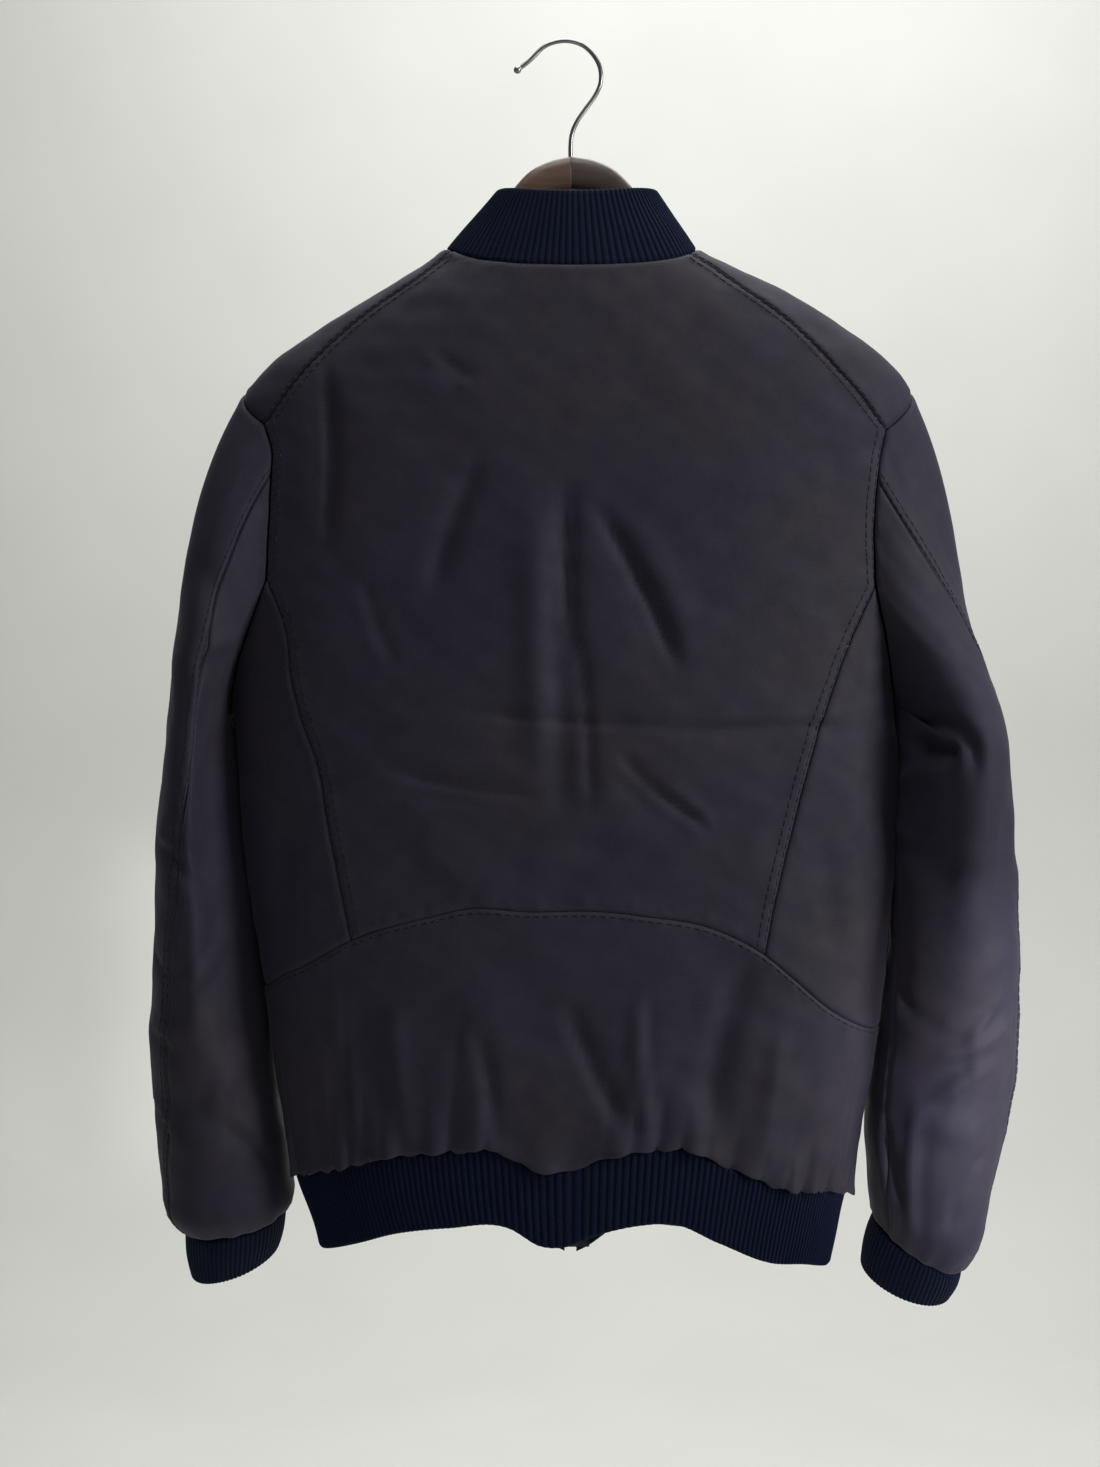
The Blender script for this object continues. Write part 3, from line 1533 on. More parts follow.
@dataclass
class BodyPanels:
    """The back, the side backs, the lower back and the two fronts, with their stitching."""

    step: float = 4.4 * MM
    back_step: float = 3.4 * MM
    gather_step: float = 2.1 * MM
    zip_half: float = 2.6 * MM
    zip_stitch: float = 5 * MM
    hem_stitch: float = 3.2 * MM
    sheets: dict[str, Sheet] = field(default_factory=dict)

    def sheet(self, name: str, turn: Array, height: Array, seed: int, seams: str = "lrbt") -> Sheet:
        """Lays one panel on the body and keeps it.

        Args:
            name: the panel's name.
            turn: the grid's turns.
            height: the grid's heights.
            seed: picks how its puckers fall.
            seams: which borders are seams.

        Returns:
            The sheet.
        """
        made = Sheet(BODY_FORM.surface(turn, height), level_way(turn), seams, seed)
        self.sheets[name] = made
        return made

    def back(self) -> None:
        """The back: princess seams, then armholes, then shoulder seams."""
        share = spaced(0.43, self.back_step)
        left = float(LEFT.seam_turn(LEFT.princess, np.array(LEFT.princess[-1].height * MM)))
        right = 180 - float(
            RIGHT.seam_turn(RIGHT.princess, np.array(RIGHT.princess[-1].height * MM)))
        bottom = BODY_FORM.yoke_height(left + (right - left) * share)
        junction = LEFT.junction + (RIGHT.junction - LEFT.junction) * share
        corner = LEFT.corner + (RIGHT.corner - LEFT.corner) * share
        (left_turn, _), (right_turn, _) = LEFT.shoulder_top(), RIGHT.shoulder_top()
        top = BODY_FORM.neck_height(left_turn + (180 - right_turn - left_turn) * share)
        height = np.concatenate([
            rows_between(bottom, junction, spaced(0.24, self.back_step, True, False)),
            rows_between(junction, corner, np.linspace(0, 1, 25))[1:],
            rows_between(corner, top, spaced(0.12, self.back_step, False, True))[1:]])
        ends = []
        for half, edge in ((LEFT, height[:, 0]), (RIGHT, height[:, -1])):
            turn = np.where(
                edge <= half.junction, half.seam_turn(half.princess, edge),
                np.where(edge <= half.corner, half.seam_turn(half.armhole_back, edge),
                         half.shoulder_turn(edge)))
            ends.append(half.turned(turn))
        turn = ends[0][:, None] + (ends[1] - ends[0])[:, None] * share
        self.sheet("back", turn, height, 2)

    def side_back(self, half: Half, seed: int) -> None:
        """A side back, from its princess seam to the side seam.

        Args:
            half: which side back.
            seed: picks how its puckers fall.
        """
        share = spaced(0.1, self.step)
        low = float(half.seam_turn(half.princess, np.array(half.princess[-1].height * MM)))
        bottom = BODY_FORM.yoke_height(half.turned(low + (half.side_seam_turn - low) * share))
        top = half.junction + (half.underarm - half.junction) * np.sin(share * np.pi / 2) ** 0.9
        height = rows_between(bottom, top, spaced(0.24, self.step))
        seam = half.seam_turn(half.princess, height[:, 0])
        turn = seam[:, None] + (half.side_seam_turn - seam)[:, None] * share
        self.sheet("side_back_" + half.name, half.turned(turn), height, seed)

    def back_lower(self) -> None:
        """The lower back, side seam to side seam between the yoke seam and the hem rib."""
        share = spaced(0.5, self.gather_step)
        turn = LEFT.side_seam_turn + (180 - 2 * LEFT.side_seam_turn) * share
        height = rows_between(BODY_FORM.hem_height(turn), BODY_FORM.yoke_height(turn),
                              spaced(0.16, self.step))
        self.sheet("back_lower", np.broadcast_to(turn, height.shape), height, 3)

    def armhole_levels(self, half: Half, count: int) -> Array:
        """Heights evenly spaced along a front's armhole, underarm to shoulder tip.

        Args:
            half: which front.
            count: how many heights.

        Returns:
            The heights in metres.
        """
        dense = half.underarm + (half.tip - half.underarm) * (1 - np.linspace(1, 0, 800) ** 3)
        turn = np.append(half.front_armhole_turn(dense[:-1]), 0.0)
        line = BODY_FORM.form(half.turned(turn), dense)
        places = lengths_along(line, 0)
        return np.interp(np.linspace(0, places[-1], count), places, dense)

    def front(self, half: Half) -> tuple[Array, Array, Array]:
        """A front's grid up to the shoulder's ridge.

        Args:
            half: which front.

        Returns:
            Its turns, its heights and the row numbers from the shoulder's tip up.
        """
        share = spaced(0.34, self.step, True, True)
        around = -90 + (half.side_seam_turn + 90) * share
        hem = BODY_FORM.hem_height(half.turned(around))
        top = BODY_FORM.neck_height(half.turned(-90 + 90 * share))
        yoke = float(BODY_FORM.yoke_height(np.array(half.turned(half.side_seam_turn))))
        low = float(hem[-1])
        armhole = self.armhole_levels(half, 58)
        even = np.linspace(half.underarm, half.tip, len(armhole))
        below = np.concatenate([
            low + (yoke - low) * spaced(yoke - low, self.step, True, False)[:-1],
            np.linspace(yoke, half.underarm, 46)[:-1]])
        above = half.tip + (BODY_FORM.neck_side_height - half.tip) * spaced(
            0.13, self.step, False, True)
        levels = np.concatenate([below, armhole[:-1], above])
        inner = np.concatenate([below, even[:-1], above])
        parts = inner[:, None] + (levels - inner)[:, None] * share**2
        height = hem + (top - hem) * (parts - low) / (levels[-1] - low)
        edge = np.where(levels <= half.underarm, half.side_seam_turn,
                        np.where(levels < half.tip - 1e-7, half.front_armhole_turn(levels), 0.0))
        width = BODY_FORM.reach(height[:, 0], "left") - BODY_MIDDLE
        start = -90 + np.degrees((self.zip_half + SEAM_GAP) / width)
        turn = start[:, None] + (edge - start)[:, None] * share
        return turn, height, np.flatnonzero(levels >= half.tip - 1e-7)

    def front_wrap(self, half: Half, levels: Array) -> tuple[Array, Array]:
        """The strip of a front behind the ridge, down to the set-back shoulder seam.

        Args:
            half: which front.
            levels: the heights of the ridge's rows, from the tip up.

        Returns:
            The strip's turns and heights.
        """
        share = spaced(0.05, self.step, False, True)
        low = half.tip + (half.corner - half.tip) * share**1.3
        high = BODY_FORM.neck_height(half.turned(half.shoulder_top()[0] * share))
        part = ((levels - levels[0]) / (levels[-1] - levels[0]))[:, None]
        height = low + (high - low) * part
        return half.shoulder_turn(height[:, -1])[:, None] * share, height

    def make_front(self, half: Half, seed: int) -> None:
        """A front with its wrap over the shoulder, one piece of cloth.

        Args:
            half: which front.
            seed: picks how the wrap's puckers fall.
        """
        turn, height, upper = self.front(half)
        turn, lower = half.turned(turn), slice(upper[0] + 1)
        name = "front_" + half.name
        below = self.sheet(name + "_below", turn[lower], height[lower], 31, "lrb")
        above = self.sheet(name + "_above", turn[upper], height[upper], 32, "lt")
        over_turn, over_height = self.front_wrap(half, height[upper, -1])
        over = self.sheet(name + "_wrap", half.turned(over_turn), over_height, seed, "rbt")
        over.points[:, 0] = above.points[:, -1]
        above.points[0] = below.points[-1]
        over.points[0, 0] = above.points[0, -1]
        cloth_piece(name, [below, above, over], level_way(np.array(half.turned(-45.0))))

    def build(self) -> None:
        """Makes every panel of the body."""
        self.back()
        self.back_lower()
        self.side_back(LEFT, 4)
        self.side_back(RIGHT, 5)
        cuts = {
            "back": Cut(0.45, 0.56, 0.168, ("hanger_left", "hanger_right")),
            "back_lower": Cut(0.54, 0.18, 0.074, ("back",)),
            "side_back_left": Cut(0.12, 0.26, 0.022, ("back",)),
            "side_back_right": Cut(0.14, 0.27, 0.027, ("back",))}
        for name, cut in cuts.items():
            sheet = self.sheets[name]
            rows, columns = sheet.points.shape[:2]
            cloth_piece(name, [sheet], sheet.normals[rows // 2, columns // 2])
        for half, seed in ((LEFT, 7), (RIGHT, 10)):
            self.make_front(half, seed)
        self.stitch()

    def stitch(self) -> None:
        """The rows of topstitching beside the body's seams."""
        made = bmesh.new()
        rows = [
            ("back", Side.FIRST_COLUMN, STITCH_NEAR), ("back", Side.FIRST_COLUMN, STITCH_FAR),
            ("back", Side.LAST_COLUMN, STITCH_NEAR), ("back", Side.LAST_COLUMN, STITCH_FAR),
            ("back_lower", Side.LAST_ROW, self.hem_stitch),
            ("front_left_wrap", Side.LAST_COLUMN, STITCH_NEAR),
            ("front_right_wrap", Side.LAST_COLUMN, STITCH_NEAR),
            ("front_left_below", Side.FIRST_COLUMN, self.zip_stitch),
            ("front_right_below", Side.FIRST_COLUMN, self.zip_stitch)]
        for name, side, away in rows:
            sew(made, *self.sheets[name].line(side, away))
        enter(link_mesh("body_topstitching", made, THREAD))


# --------------------------------------------------------------------- sleeves


@dataclass
class Sleeve:
    """A two-piece sleeve, armhole to cuff, with its seams and stitching."""

    half: Half
    rows: tuple[SleeveSection, ...]
    folds: tuple[Fold, ...]
    upper_cut: Cut
    under_cut: Cut
    leave: Triple = (0.50, 0.30, -0.86)
    arrive: Triple = (0.10, 0.0, -1.0)
    marks: tuple[float, ...] = (0.0, 3.0, 9.0, 14.0, 24.0)
    back_seam: float = 5.0
    front_seam: float = 17.0
    step: float = 4.5 * MM
    broad_swell: float = 60 * MM
    fine_swell: float = 24 * MM
    tuck: float = 0.8 * MM
    tuck_reach: float = 16 * MM
    tucks: int = 13

    def ring(self, mark: Array) -> tuple[Array, Array]:
        """The armhole seam, followed by a mark that runs from 0 at the tip to 24.

        Args:
            mark: wrap 0 to 3, back armhole 3 to 9, side back 9 to 14, front 14 to 24.

        Returns:
            The seam's turns and heights.
        """
        half = self.half
        mark = np.mod(mark, 24.0)
        share = [np.clip((mark - low) / (high - low), 0, 1)
                 for low, high in zip(self.marks, self.marks[1:])]
        corner_turn = float(half.shoulder_turn(np.array(half.corner)))
        heights = [
            half.tip + (half.corner - half.tip) * share[0] ** 1.3,
            half.corner + (half.junction - half.corner) * share[1],
            half.junction + (half.underarm - half.junction)
            * np.sin(share[2] * np.pi / 2) ** 0.9,
            half.underarm + (half.tip - half.underarm) * (1 - (1 - share[3]) ** 1.7)]
        princess = float(half.seam_turn(half.princess, np.array(half.junction)))
        turns = [
            corner_turn * share[0],
            half.seam_turn(half.armhole_back, heights[1]),
            princess + (half.side_seam_turn - princess) * share[2],
            half.front_armhole_turn(heights[3])]
        zone = [mark <= 3.0, mark <= 9.0, mark <= 14.0]
        return (half.turned(np.select(zone, turns[:3], turns[3])),
                np.select(zone, heights[:3], heights[3]))

    def turns(self, mark: Array, back_seam: float, front_seam: float) -> Array:
        """The turn of each mark round a section whose two seams lie where stated.

        Args:
            mark: the marks, going on past 24 where the piece crosses the tip.
            back_seam: the back seam's turn.
            front_seam: the front seam's turn.

        Returns:
            The turns in degrees.
        """
        dense = np.linspace(0, 24, 961)
        line = BODY_FORM.form(*self.ring(dense[:-1]))
        line = np.concatenate([line, line[:1]])
        places = lengths_along(line, 0)
        total = places[-1]
        at = np.interp(np.mod(mark, 24.0), dense, places) + total * (mark >= 24.0)
        back, front = np.interp([self.back_seam, self.front_seam], dense, places)
        under = (at - back) / (front - back)
        over = (at - front) / (total - front + back)
        past_seam = mark > self.front_seam
        return np.where(past_seam, front_seam - 360 + (back_seam + 360 - front_seam) * over,
                        back_seam + (front_seam - back_seam) * under)

    def tube(self, turn: Array, height: Array) -> Array:
        """The sleeve below its cap.

        Args:
            turn: turns round the section, in degrees.
            height: the heights of the section's middle, in metres.

        Returns:
            The points.
        """
        read = {name: table_curve(self.rows, "height", name, height / MM) * MM
                for name in ("outer", "inner", "back", "depth", "rise", "pitch")}
        angle = np.radians(turn)
        middle = (read["outer"] + read["inner"]) / 2
        half_width = (read["outer"] - read["inner"]) / 2
        x = self.half.sign * (middle + half_width * np.cos(angle))
        y = read["back"] + read["depth"] * np.sin(angle)
        z = height + read["rise"] * np.cos(angle) + read["pitch"] * np.sin(angle)
        return np.stack(np.broadcast_arrays(x, y, z), axis=-1)

    def seams_at(self, height: float) -> tuple[float, float]:
        """The turns of the back and the front seam at a height in millimetres.

        Args:
            height: the height.

        Returns:
            The two turns.
        """
        return tuple(float(table_curve(self.rows, "height", name, np.array(height)))
                     for name in ("back_seam", "front_seam"))

    def points(self, mark: Array) -> tuple[Array, Array]:
        """The sleeve's outer points along the marks given, armhole to cuff.

        Args:
            mark: the marks, once round the sleeve from the back seam on.

        Returns:
            The points in rows going down, and the rough way out at each.
        """
        ring = BODY_FORM.surface(*self.ring(mark))
        top = self.rows[0].height * MM
        turns = self.turns(mark, *self.seams_at(self.rows[0].height))
        first = self.tube(turns, np.full(len(mark), top))
        span = np.linalg.norm(first - ring, axis=1, keepdims=True)
        leave = unit(np.stack([
            np.full(len(mark), self.half.sign * self.leave[0]),
            self.leave[1] * np.sin(np.radians(turns)), np.full(len(mark), self.leave[2])],
            axis=-1))
        arrive = np.array([self.half.sign * self.arrive[0], self.arrive[1], self.arrive[2]])
        start = ring + leave * SEAM_GAP / 2
        made, fades, all_turns = [], [], []
        for part in spaced(0.18, self.step, True, False)[:-1]:
            made.append(bridge(start, first, leave * span, arrive * span, part))
            fades.append(eased(np.array(part * 2.2 - 0.5)))
            all_turns.append(turns)
        bottom = self.rows[-1].height * MM
        for share in spaced(top - bottom, self.step, False, True):
            height = top + (bottom - top) * share
            now = self.turns(mark, *self.seams_at(height / MM))
            made.append(self.tube(now, np.full(len(mark), height)))
            fades.append(1.0)
            all_turns.append(now)
        points, turn = np.array(made), np.array(all_turns)
        fade = np.array(fades, float)[:, None]
        angle = np.radians(turn)
        facing = level_way(turn, self.half.sign)
        normals = grid_normals(points, facing)
        normals[:, 0] = normals[:, -1] = unit(normals[:, 0] + normals[:, -1])
        lift = fold_sum(self.folds, np.mod(turn, 360), points[..., 2] / MM)
        lift = lift + BROAD_RUMPLE * rumple(points, self.broad_swell, 5)
        lift = lift + FINE_RUMPLE * rumple(points, self.fine_swell, 6)
        near_cuff = np.exp(-((points[..., 2] - points[-1:, :, 2]) / self.tuck_reach))
        wave = np.sin(angle * self.tucks + 1.7 * np.sin(angle * 3))
        lift = lift * fade + self.tuck * near_cuff * wave * (0.6 + 0.4 * np.sin(angle * 5))
        return points + normals * lift[..., None], facing

    def marks_between(self, low: float, high: float) -> Array:
        """Marks from one seam to the other, closer together beside the two.

        Args:
            low: the first seam's mark.
            high: the last seam's mark.

        Returns:
            The marks.
        """
        beside = np.array([0.0, 0.025, 0.055, 0.095, 0.15, 0.22, 0.3])
        middle = np.linspace(low + 0.3, high - 0.3, int((high - low) / 0.19))[1:-1]
        return np.concatenate([low + beside, middle, high - beside[::-1]])

    def build(self) -> None:
        """Makes the sleeve's two pieces and their stitching."""
        stitches = bmesh.new()
        under = self.marks_between(self.back_seam, self.front_seam)
        upper = self.marks_between(self.front_seam, self.back_seam + 24)
        whole, facings = self.points(np.concatenate([under, upper[1:]]))
        split = len(under) - 1
        pieces = (
            ("sleeve_upper_", slice(split, None), self.upper_cut, 41),
            ("sleeve_under_", slice(0, split + 1), self.under_cut, 42))
        for start, part, cut, seed in pieces:
            name = start + self.half.name
            points, facing = whole[:, part], facings[:, part]
            sheet = Sheet(points, facing, "lrbt", seed)
            rows, columns = points.shape[:2]
            cloth_piece(name, [sheet], facing[rows // 2, columns // 2])
            if start == "sleeve_upper_":
                sew(stitches, *sheet.line(Side.LAST_COLUMN, STITCH_NEAR))
                sew(stitches, *sheet.line(Side.LAST_COLUMN, STITCH_FAR))
        stitched = link_mesh("sleeve_topstitching_" + self.half.name, stitches, THREAD)
        enter(stitched)


# ------------------------------------------------------------------------ ribs


class BandEnds(Enum):
    """How a rib band ends round its opening."""

    OPEN = "open"
    CLOSED = "closed"


@dataclass
class RibBand:
    """A rib-knit band: raised cords over a plain inner side, rolled at its free edge."""

    node: str
    surface: Curve
    turns: tuple[float, float]
    ribs: int
    cut: Cut
    ends: BandEnds
    free_edge: int
    step: float = 4.5 * MM
    across_rib: int = 7
    relief: float = 0.95 * MM
    roll: float = 1.3 * MM
    roll_reach: float = 2.6 * MM
    swell: float = 45 * MM
    core: tuple[float, float] = (-0.004, 0.0)
    tuck: float = 0.03
    tuck_depth: float = 2.3 * MM
    tuck_reach: float = 1.5 * MM

    def parts(self) -> Array:
        """Shares of the band's height, going a little way under the cloth it is sewn to."""
        shares = spaced(0.055, self.step) * (1 + self.tuck)
        return shares if self.free_edge == 0 else shares - self.tuck

    def build(self) -> bpy.types.Object:
        """Makes the band.

        Returns:
            The finished object.
        """
        count = self.ribs * self.across_rib + 1
        turn, part = np.broadcast_arrays(
            np.linspace(*self.turns, count)[None, :], self.parts()[:, None])
        points = self.surface(turn, part)
        facing = points - np.array([*self.core, 0])
        facing = unit(facing * np.array([1, 1, 0]))
        normals = grid_normals(points, facing)
        if self.ends is BandEnds.CLOSED:
            normals[:, -1] = normals[:, 0] = unit(normals[:, -1] + normals[:, 0])
        phase = np.abs(np.mod(np.arange(count) / self.across_rib, 1.0) * 2 - 1)
        profile = np.broadcast_to(1 - phase**2.2, turn.shape)
        upward = lengths_along(points, 0)
        free = upward if self.free_edge == 0 else upward[-1:] - upward
        sewn = upward[-1:] - upward if self.free_edge == 0 else upward
        edge = np.clip(1 - free / self.roll_reach, 0, 1)
        lift = -self.relief * (1 - profile) * (1 - 0.35 * edge)
        lift = lift - self.roll * edge**2.2
        lift = lift - self.tuck_depth * np.exp(-((sewn / self.tuck_reach) ** 2))
        lift = lift + FINE_RUMPLE * rumple(points, self.swell, 12)
        made = lay_grids([points + normals * lift[..., None]],
                         normals[turn.shape[0] // 2, count // 2],
                         self.ends is BandEnds.CLOSED, {"rib": [profile]})
        piece = thicken(link_mesh(self.node + "_knit", made, RIB), RIB_WALL)
        return enter(piece, self.node)


@dataclass
class Ribs:
    """The collar, the hem band and the two cuffs, and the cloth tabs beside the zip."""

    collar_side_height: float = -104 * MM
    collar_back_drop: float = 7.5 * MM
    collar_front_drop: float = 72 * MM
    collar_reach: tuple[float, float] = (52 * MM, 60 * MM)
    collar_depth: tuple[float, float] = (31 * MM, 38 * MM)
    collar_end_turn: float = 1.3
    collar_rib_spread: tuple[float, float] = (7.0, 6.0)
    hem_band: float = 52 * MM
    tab_turn: float = 14.0
    tab_gap_turn: float = 0.11
    tab_start: float = 2.9 * MM
    tab_step: float = 4 * MM
    cuff_swell: float = 1.5 * MM

    def collar(self, turn: Array, part: Array) -> Array:
        """The collar's form: it leans in from the neck seam to its smaller top edge.

        Args:
            turn: turns round the neck.
            part: 0 at the neck seam and 1 at the top edge.

        Returns:
            The points.
        """
        # The ribs run nearly straight up the back: closer at its seam, wider at its top.
        sideways = np.sin(2 * np.radians(turn - 90))
        low = turn - self.collar_rib_spread[0] * sideways
        base = BODY_FORM.form(low, BODY_FORM.neck_height(low))
        base = base + np.array([0, 0, SEAM_GAP * 1.6])
        angle = np.radians(turn + self.collar_rib_spread[1] * sideways)
        cosine, sine = np.cos(angle), np.sin(angle)
        side = np.where(cosine >= 0, self.collar_reach[0], self.collar_reach[1])
        depth = np.where(sine >= 0, self.collar_depth[0], self.collar_depth[1])
        drop = np.where(sine >= 0, self.collar_back_drop * sine**2,
                        self.collar_front_drop * np.abs(sine) ** 3)
        top = np.stack([BODY_MIDDLE + side * cosine, depth * sine,
                        self.collar_side_height - drop], axis=-1)
        return base + (top - base) * part[..., None]

    def hem(self, turn: Array, part: Array) -> Array:
        """The hem band's form: it hangs from the hem seam by the band's height."""
        height = BODY_FORM.hem_height(turn) - SEAM_GAP * 1.5 - self.hem_band * (1 - part)
        return BODY_FORM.form(turn, height)

    def cuff(self, rings: tuple[CuffRing, ...], sign: int) -> Curve:
        """A cuff's form between its two edges.

        Args:
            rings: the top and the bottom edge.
            sign: 1 on the wearer's left, -1 on the right.

        Returns:
            The surface, by turn and by part, 1 at the top.
        """

        def surface(turn: Array, part: Array) -> Array:
            """The cuff's points.

            Args:
                turn: turns round the cuff.
                part: 0 at the bottom edge and 1 at the top.

            Returns:
                The points.
            """
            angle = np.radians(turn)
            ends = [np.stack([
                ring.across + sign * ring.half_width * np.cos(angle),
                ring.back + ring.half_depth * np.sin(angle),
                ring.height + ring.rise * np.cos(angle) + ring.pitch * np.sin(angle)],
                axis=-1) * MM for ring in rings]
            share = part[..., None]
            swell = np.sin(np.pi * share) * self.cuff_swell
            return ends[1] + (ends[0] - ends[1]) * share + level_way(turn, sign) * swell

        return surface

    def tab(self, half: Half) -> None:
        """One plain cloth end of the hem band, beside the zip.

        Args:
            half: which end.
        """
        width = float(BODY_FORM.reach(np.array(-0.84), "left")) - BODY_MIDDLE
        start = np.degrees(self.tab_start / width)
        own = -90 + start + (self.tab_turn - start) * spaced(0.045, self.tab_step)
        turn, part = np.broadcast_arrays(
            half.turned(own)[None, :], spaced(self.hem_band, self.tab_step)[:, None])
        points = self.hem(np.where(turn > 270, turn - 360, turn), part)
        facing = level_way(turn)
        cloth_piece("hem_tab_" + half.name, [Sheet(points, facing, "lrbt", 51)], facing[3, 3])

    def build(self) -> None:
        """Makes the bands and the tabs."""
        tab = self.tab_turn + self.tab_gap_turn
        RibBand("hem_rib", self.hem, (-90 + tab - 0.3, 270 - tab + 0.3), 248,
                Cut(0.84, 0.055, None, ("back_lower",)), BandEnds.OPEN, 0).build()
        RibBand("collar_rib", self.collar,
                (-90 + self.collar_end_turn, 270 - self.collar_end_turn), 116,
                Cut(0.46, 0.075, None, ("back",)), BandEnds.OPEN, 1).build()
        for half, rings in ((LEFT, CUFF_LEFT), (RIGHT, CUFF_RIGHT)):
            core = (rings[0].across * MM, rings[0].back * MM)
            RibBand("cuff_" + half.name, self.cuff(rings, half.sign), (0.0, 360.0), 66,
                    Cut(0.22, 0.045, None, ("sleeve_upper_" + half.name,)),
                    BandEnds.CLOSED, 0, core=core).build()
        for half in (LEFT, RIGHT):
            self.tab(half)


# ------------------------------------------------------------------------- zip


@dataclass
class Zip:
    """The closed centre-front zip: tapes, teeth, slider and the hinged pull tab."""

    top: float = -227 * MM
    bottom: float = -869 * MM
    raised: float = 0.4 * MM
    tooth_pitch: float = 2.5 * MM
    tooth: Triple = (3.1 * MM, 1.9 * MM, 1.45 * MM)
    tooth_aside: float = 0.95 * MM
    tooth_behind: float = 0.9 * MM
    cord_aside: float = 1.9 * MM
    cord_behind: float = 1.2 * MM
    cord: tuple[float, float] = (0.65 * MM, 0.8 * MM)
    tape_half: float = 14 * MM
    tape_wall: float = 1.0 * MM
    tape_behind: float = 1.5 * MM
    tape_to_middle: float = 0.2 * MM
    tape_short: float = 3 * MM
    slider_top: float = -240 * MM
    slider: Triple = (9 * MM, 3.2 * MM, 12 * MM)
    ear: Triple = (1.5 * MM, 3.4 * MM, 5 * MM)
    ear_sunk: float = 1.0 * MM
    pull: Triple = (4.6 * MM, 1.4 * MM, 28 * MM)
    pivot_out: float = 1.8 * MM
    pivot_drop: float = 4 * MM
    above_pivot: float = 1.5 * MM
    slider_round: float = 1.1 * MM
    slider_taper: float = 0.28
    ear_round: float = 0.5 * MM
    pull_round: float = 0.35 * MM
    tooth_round: float = 0.35 * MM

    def line(self, height: Array) -> Array:
        """The centre front's surface at each height.

        Args:
            height: the heights in metres.

        Returns:
            The points.
        """
        points = BODY_FORM.surface(np.full(np.shape(height), 270.0), height)
        points[..., 0] = BODY_MIDDLE
        return points

    def rounded(self, size: Triple, bevel: float, segments: int = 2) -> Mesh:
        """A box with rounded edges round the origin.

        Args:
            size: its three sizes.
            bevel: how far the rounding reaches.
            segments: how fine the rounding is.

        Returns:
            The mesh.
        """
        made = bmesh.new()
        bmesh.ops.create_cube(made, size=1)
        bmesh.ops.scale(made, vec=size, verts=made.verts)
        round_edges(made, made.edges[:], bevel, segments)
        return made

    def teeth(self) -> None:
        """Two rows of teeth that interlock along the centre front, on a moulded cord."""
        made = bmesh.new()
        tooth = self.rounded(self.tooth, self.tooth_round, 1)
        heights = np.arange(self.bottom + self.tape_short, self.top - 1 * MM, self.tooth_pitch / 2)
        for order, spot in enumerate(self.line(heights)):
            side = 1 if order % 2 else -1
            spot = spot + np.array([side * self.tooth_aside, self.tooth_behind - self.raised, 0])
            add_shape(made, tooth, Matrix.Translation(spot))
        tooth.free()
        rows = self.line(np.linspace(self.bottom + self.tape_short, self.top, 90))
        for side in (-1, 1):
            corners = np.radians(np.linspace(0, 360, 9))
            ring = np.stack([side * self.cord_aside + self.cord[0] * np.cos(corners),
                             self.cord_behind + self.cord[1] * np.sin(corners),
                             np.zeros_like(corners)], axis=-1)
            cord = closed_tube(rows[:, None, :] + ring, np.array([side, -1.0, 0.0]))
            add_shape(made, cord)
            cord.free()
        enter(link_mesh("zip_teeth", made, ZINC), "zip_chain")

    def tapes(self) -> None:
        """The woven tapes behind the cloth's edges."""
        rows = self.line(np.linspace(self.bottom + self.tape_short, self.top, 150))
        for name, low, high in (("left", self.tape_to_middle, self.tape_half),
                                ("right", -self.tape_half, -self.tape_to_middle)):
            across = np.linspace(low, high, 8)
            back = CLOTH_WALL + self.tape_behind
            place = np.stack([across, np.full(8, back), np.zeros(8)], axis=-1)
            made = lay_grids([rows[:, None, :] + place], np.array([0, -1.0, 0]), False)
            piece = thicken(link_mesh(f"zip_tape_{name}_woven", made, TAPE), self.tape_wall)
            enter(piece, "zip_tape_" + name)

    def slider_place(self) -> Matrix:
        """The slider's place: its own -Z runs down the zip, its own -Y points out.

        Returns:
            The place.
        """
        low = self.slider_top - self.slider[2] - self.pull[2]
        top, bottom = self.line(np.array([self.slider_top, low]))
        slope = np.arctan2(top[1] - bottom[1], top[2] - bottom[2])
        top[1] -= self.raised + 2 * SEAM_GAP
        return Matrix.Translation(top) @ Matrix.Rotation(-slope, 4, "X")

    def slider_and_pull(self) -> None:
        """The slider's body with its two ears, and the pull tab hinged between them."""
        place = self.slider_place()
        _, thick, high = self.slider
        made = self.rounded(self.slider, self.slider_round, 3)
        bmesh.ops.translate(made, vec=(0, -thick / 2, -high / 2), verts=made.verts)
        for vert in made.verts:
            vert.co.x *= 1 - self.slider_taper * float(eased(np.array(-vert.co.z / high)))
        ear = self.rounded((self.ear[0], self.ear[1] + self.ear_sunk, self.ear[2]),
                           self.ear_round)
        for side in (-1, 1):
            x = side * (self.pull[0] / 2 + SEAM_GAP + self.ear[0] / 2)
            y = -thick - self.ear[1] / 2 + self.ear_sunk / 2
            add_shape(made, ear, Matrix.Translation((x, y, -self.pivot_drop)))
        ear.free()
        made.transform(place)
        enter(link_mesh("zip_slider_body", made, ZINC), "zip_slider")
        tab = bmesh.new()
        bmesh.ops.create_grid(tab, x_segments=3, y_segments=5, size=0.5)
        bmesh.ops.scale(tab, vec=(self.pull[0], self.pull[2], 1), verts=tab.verts)
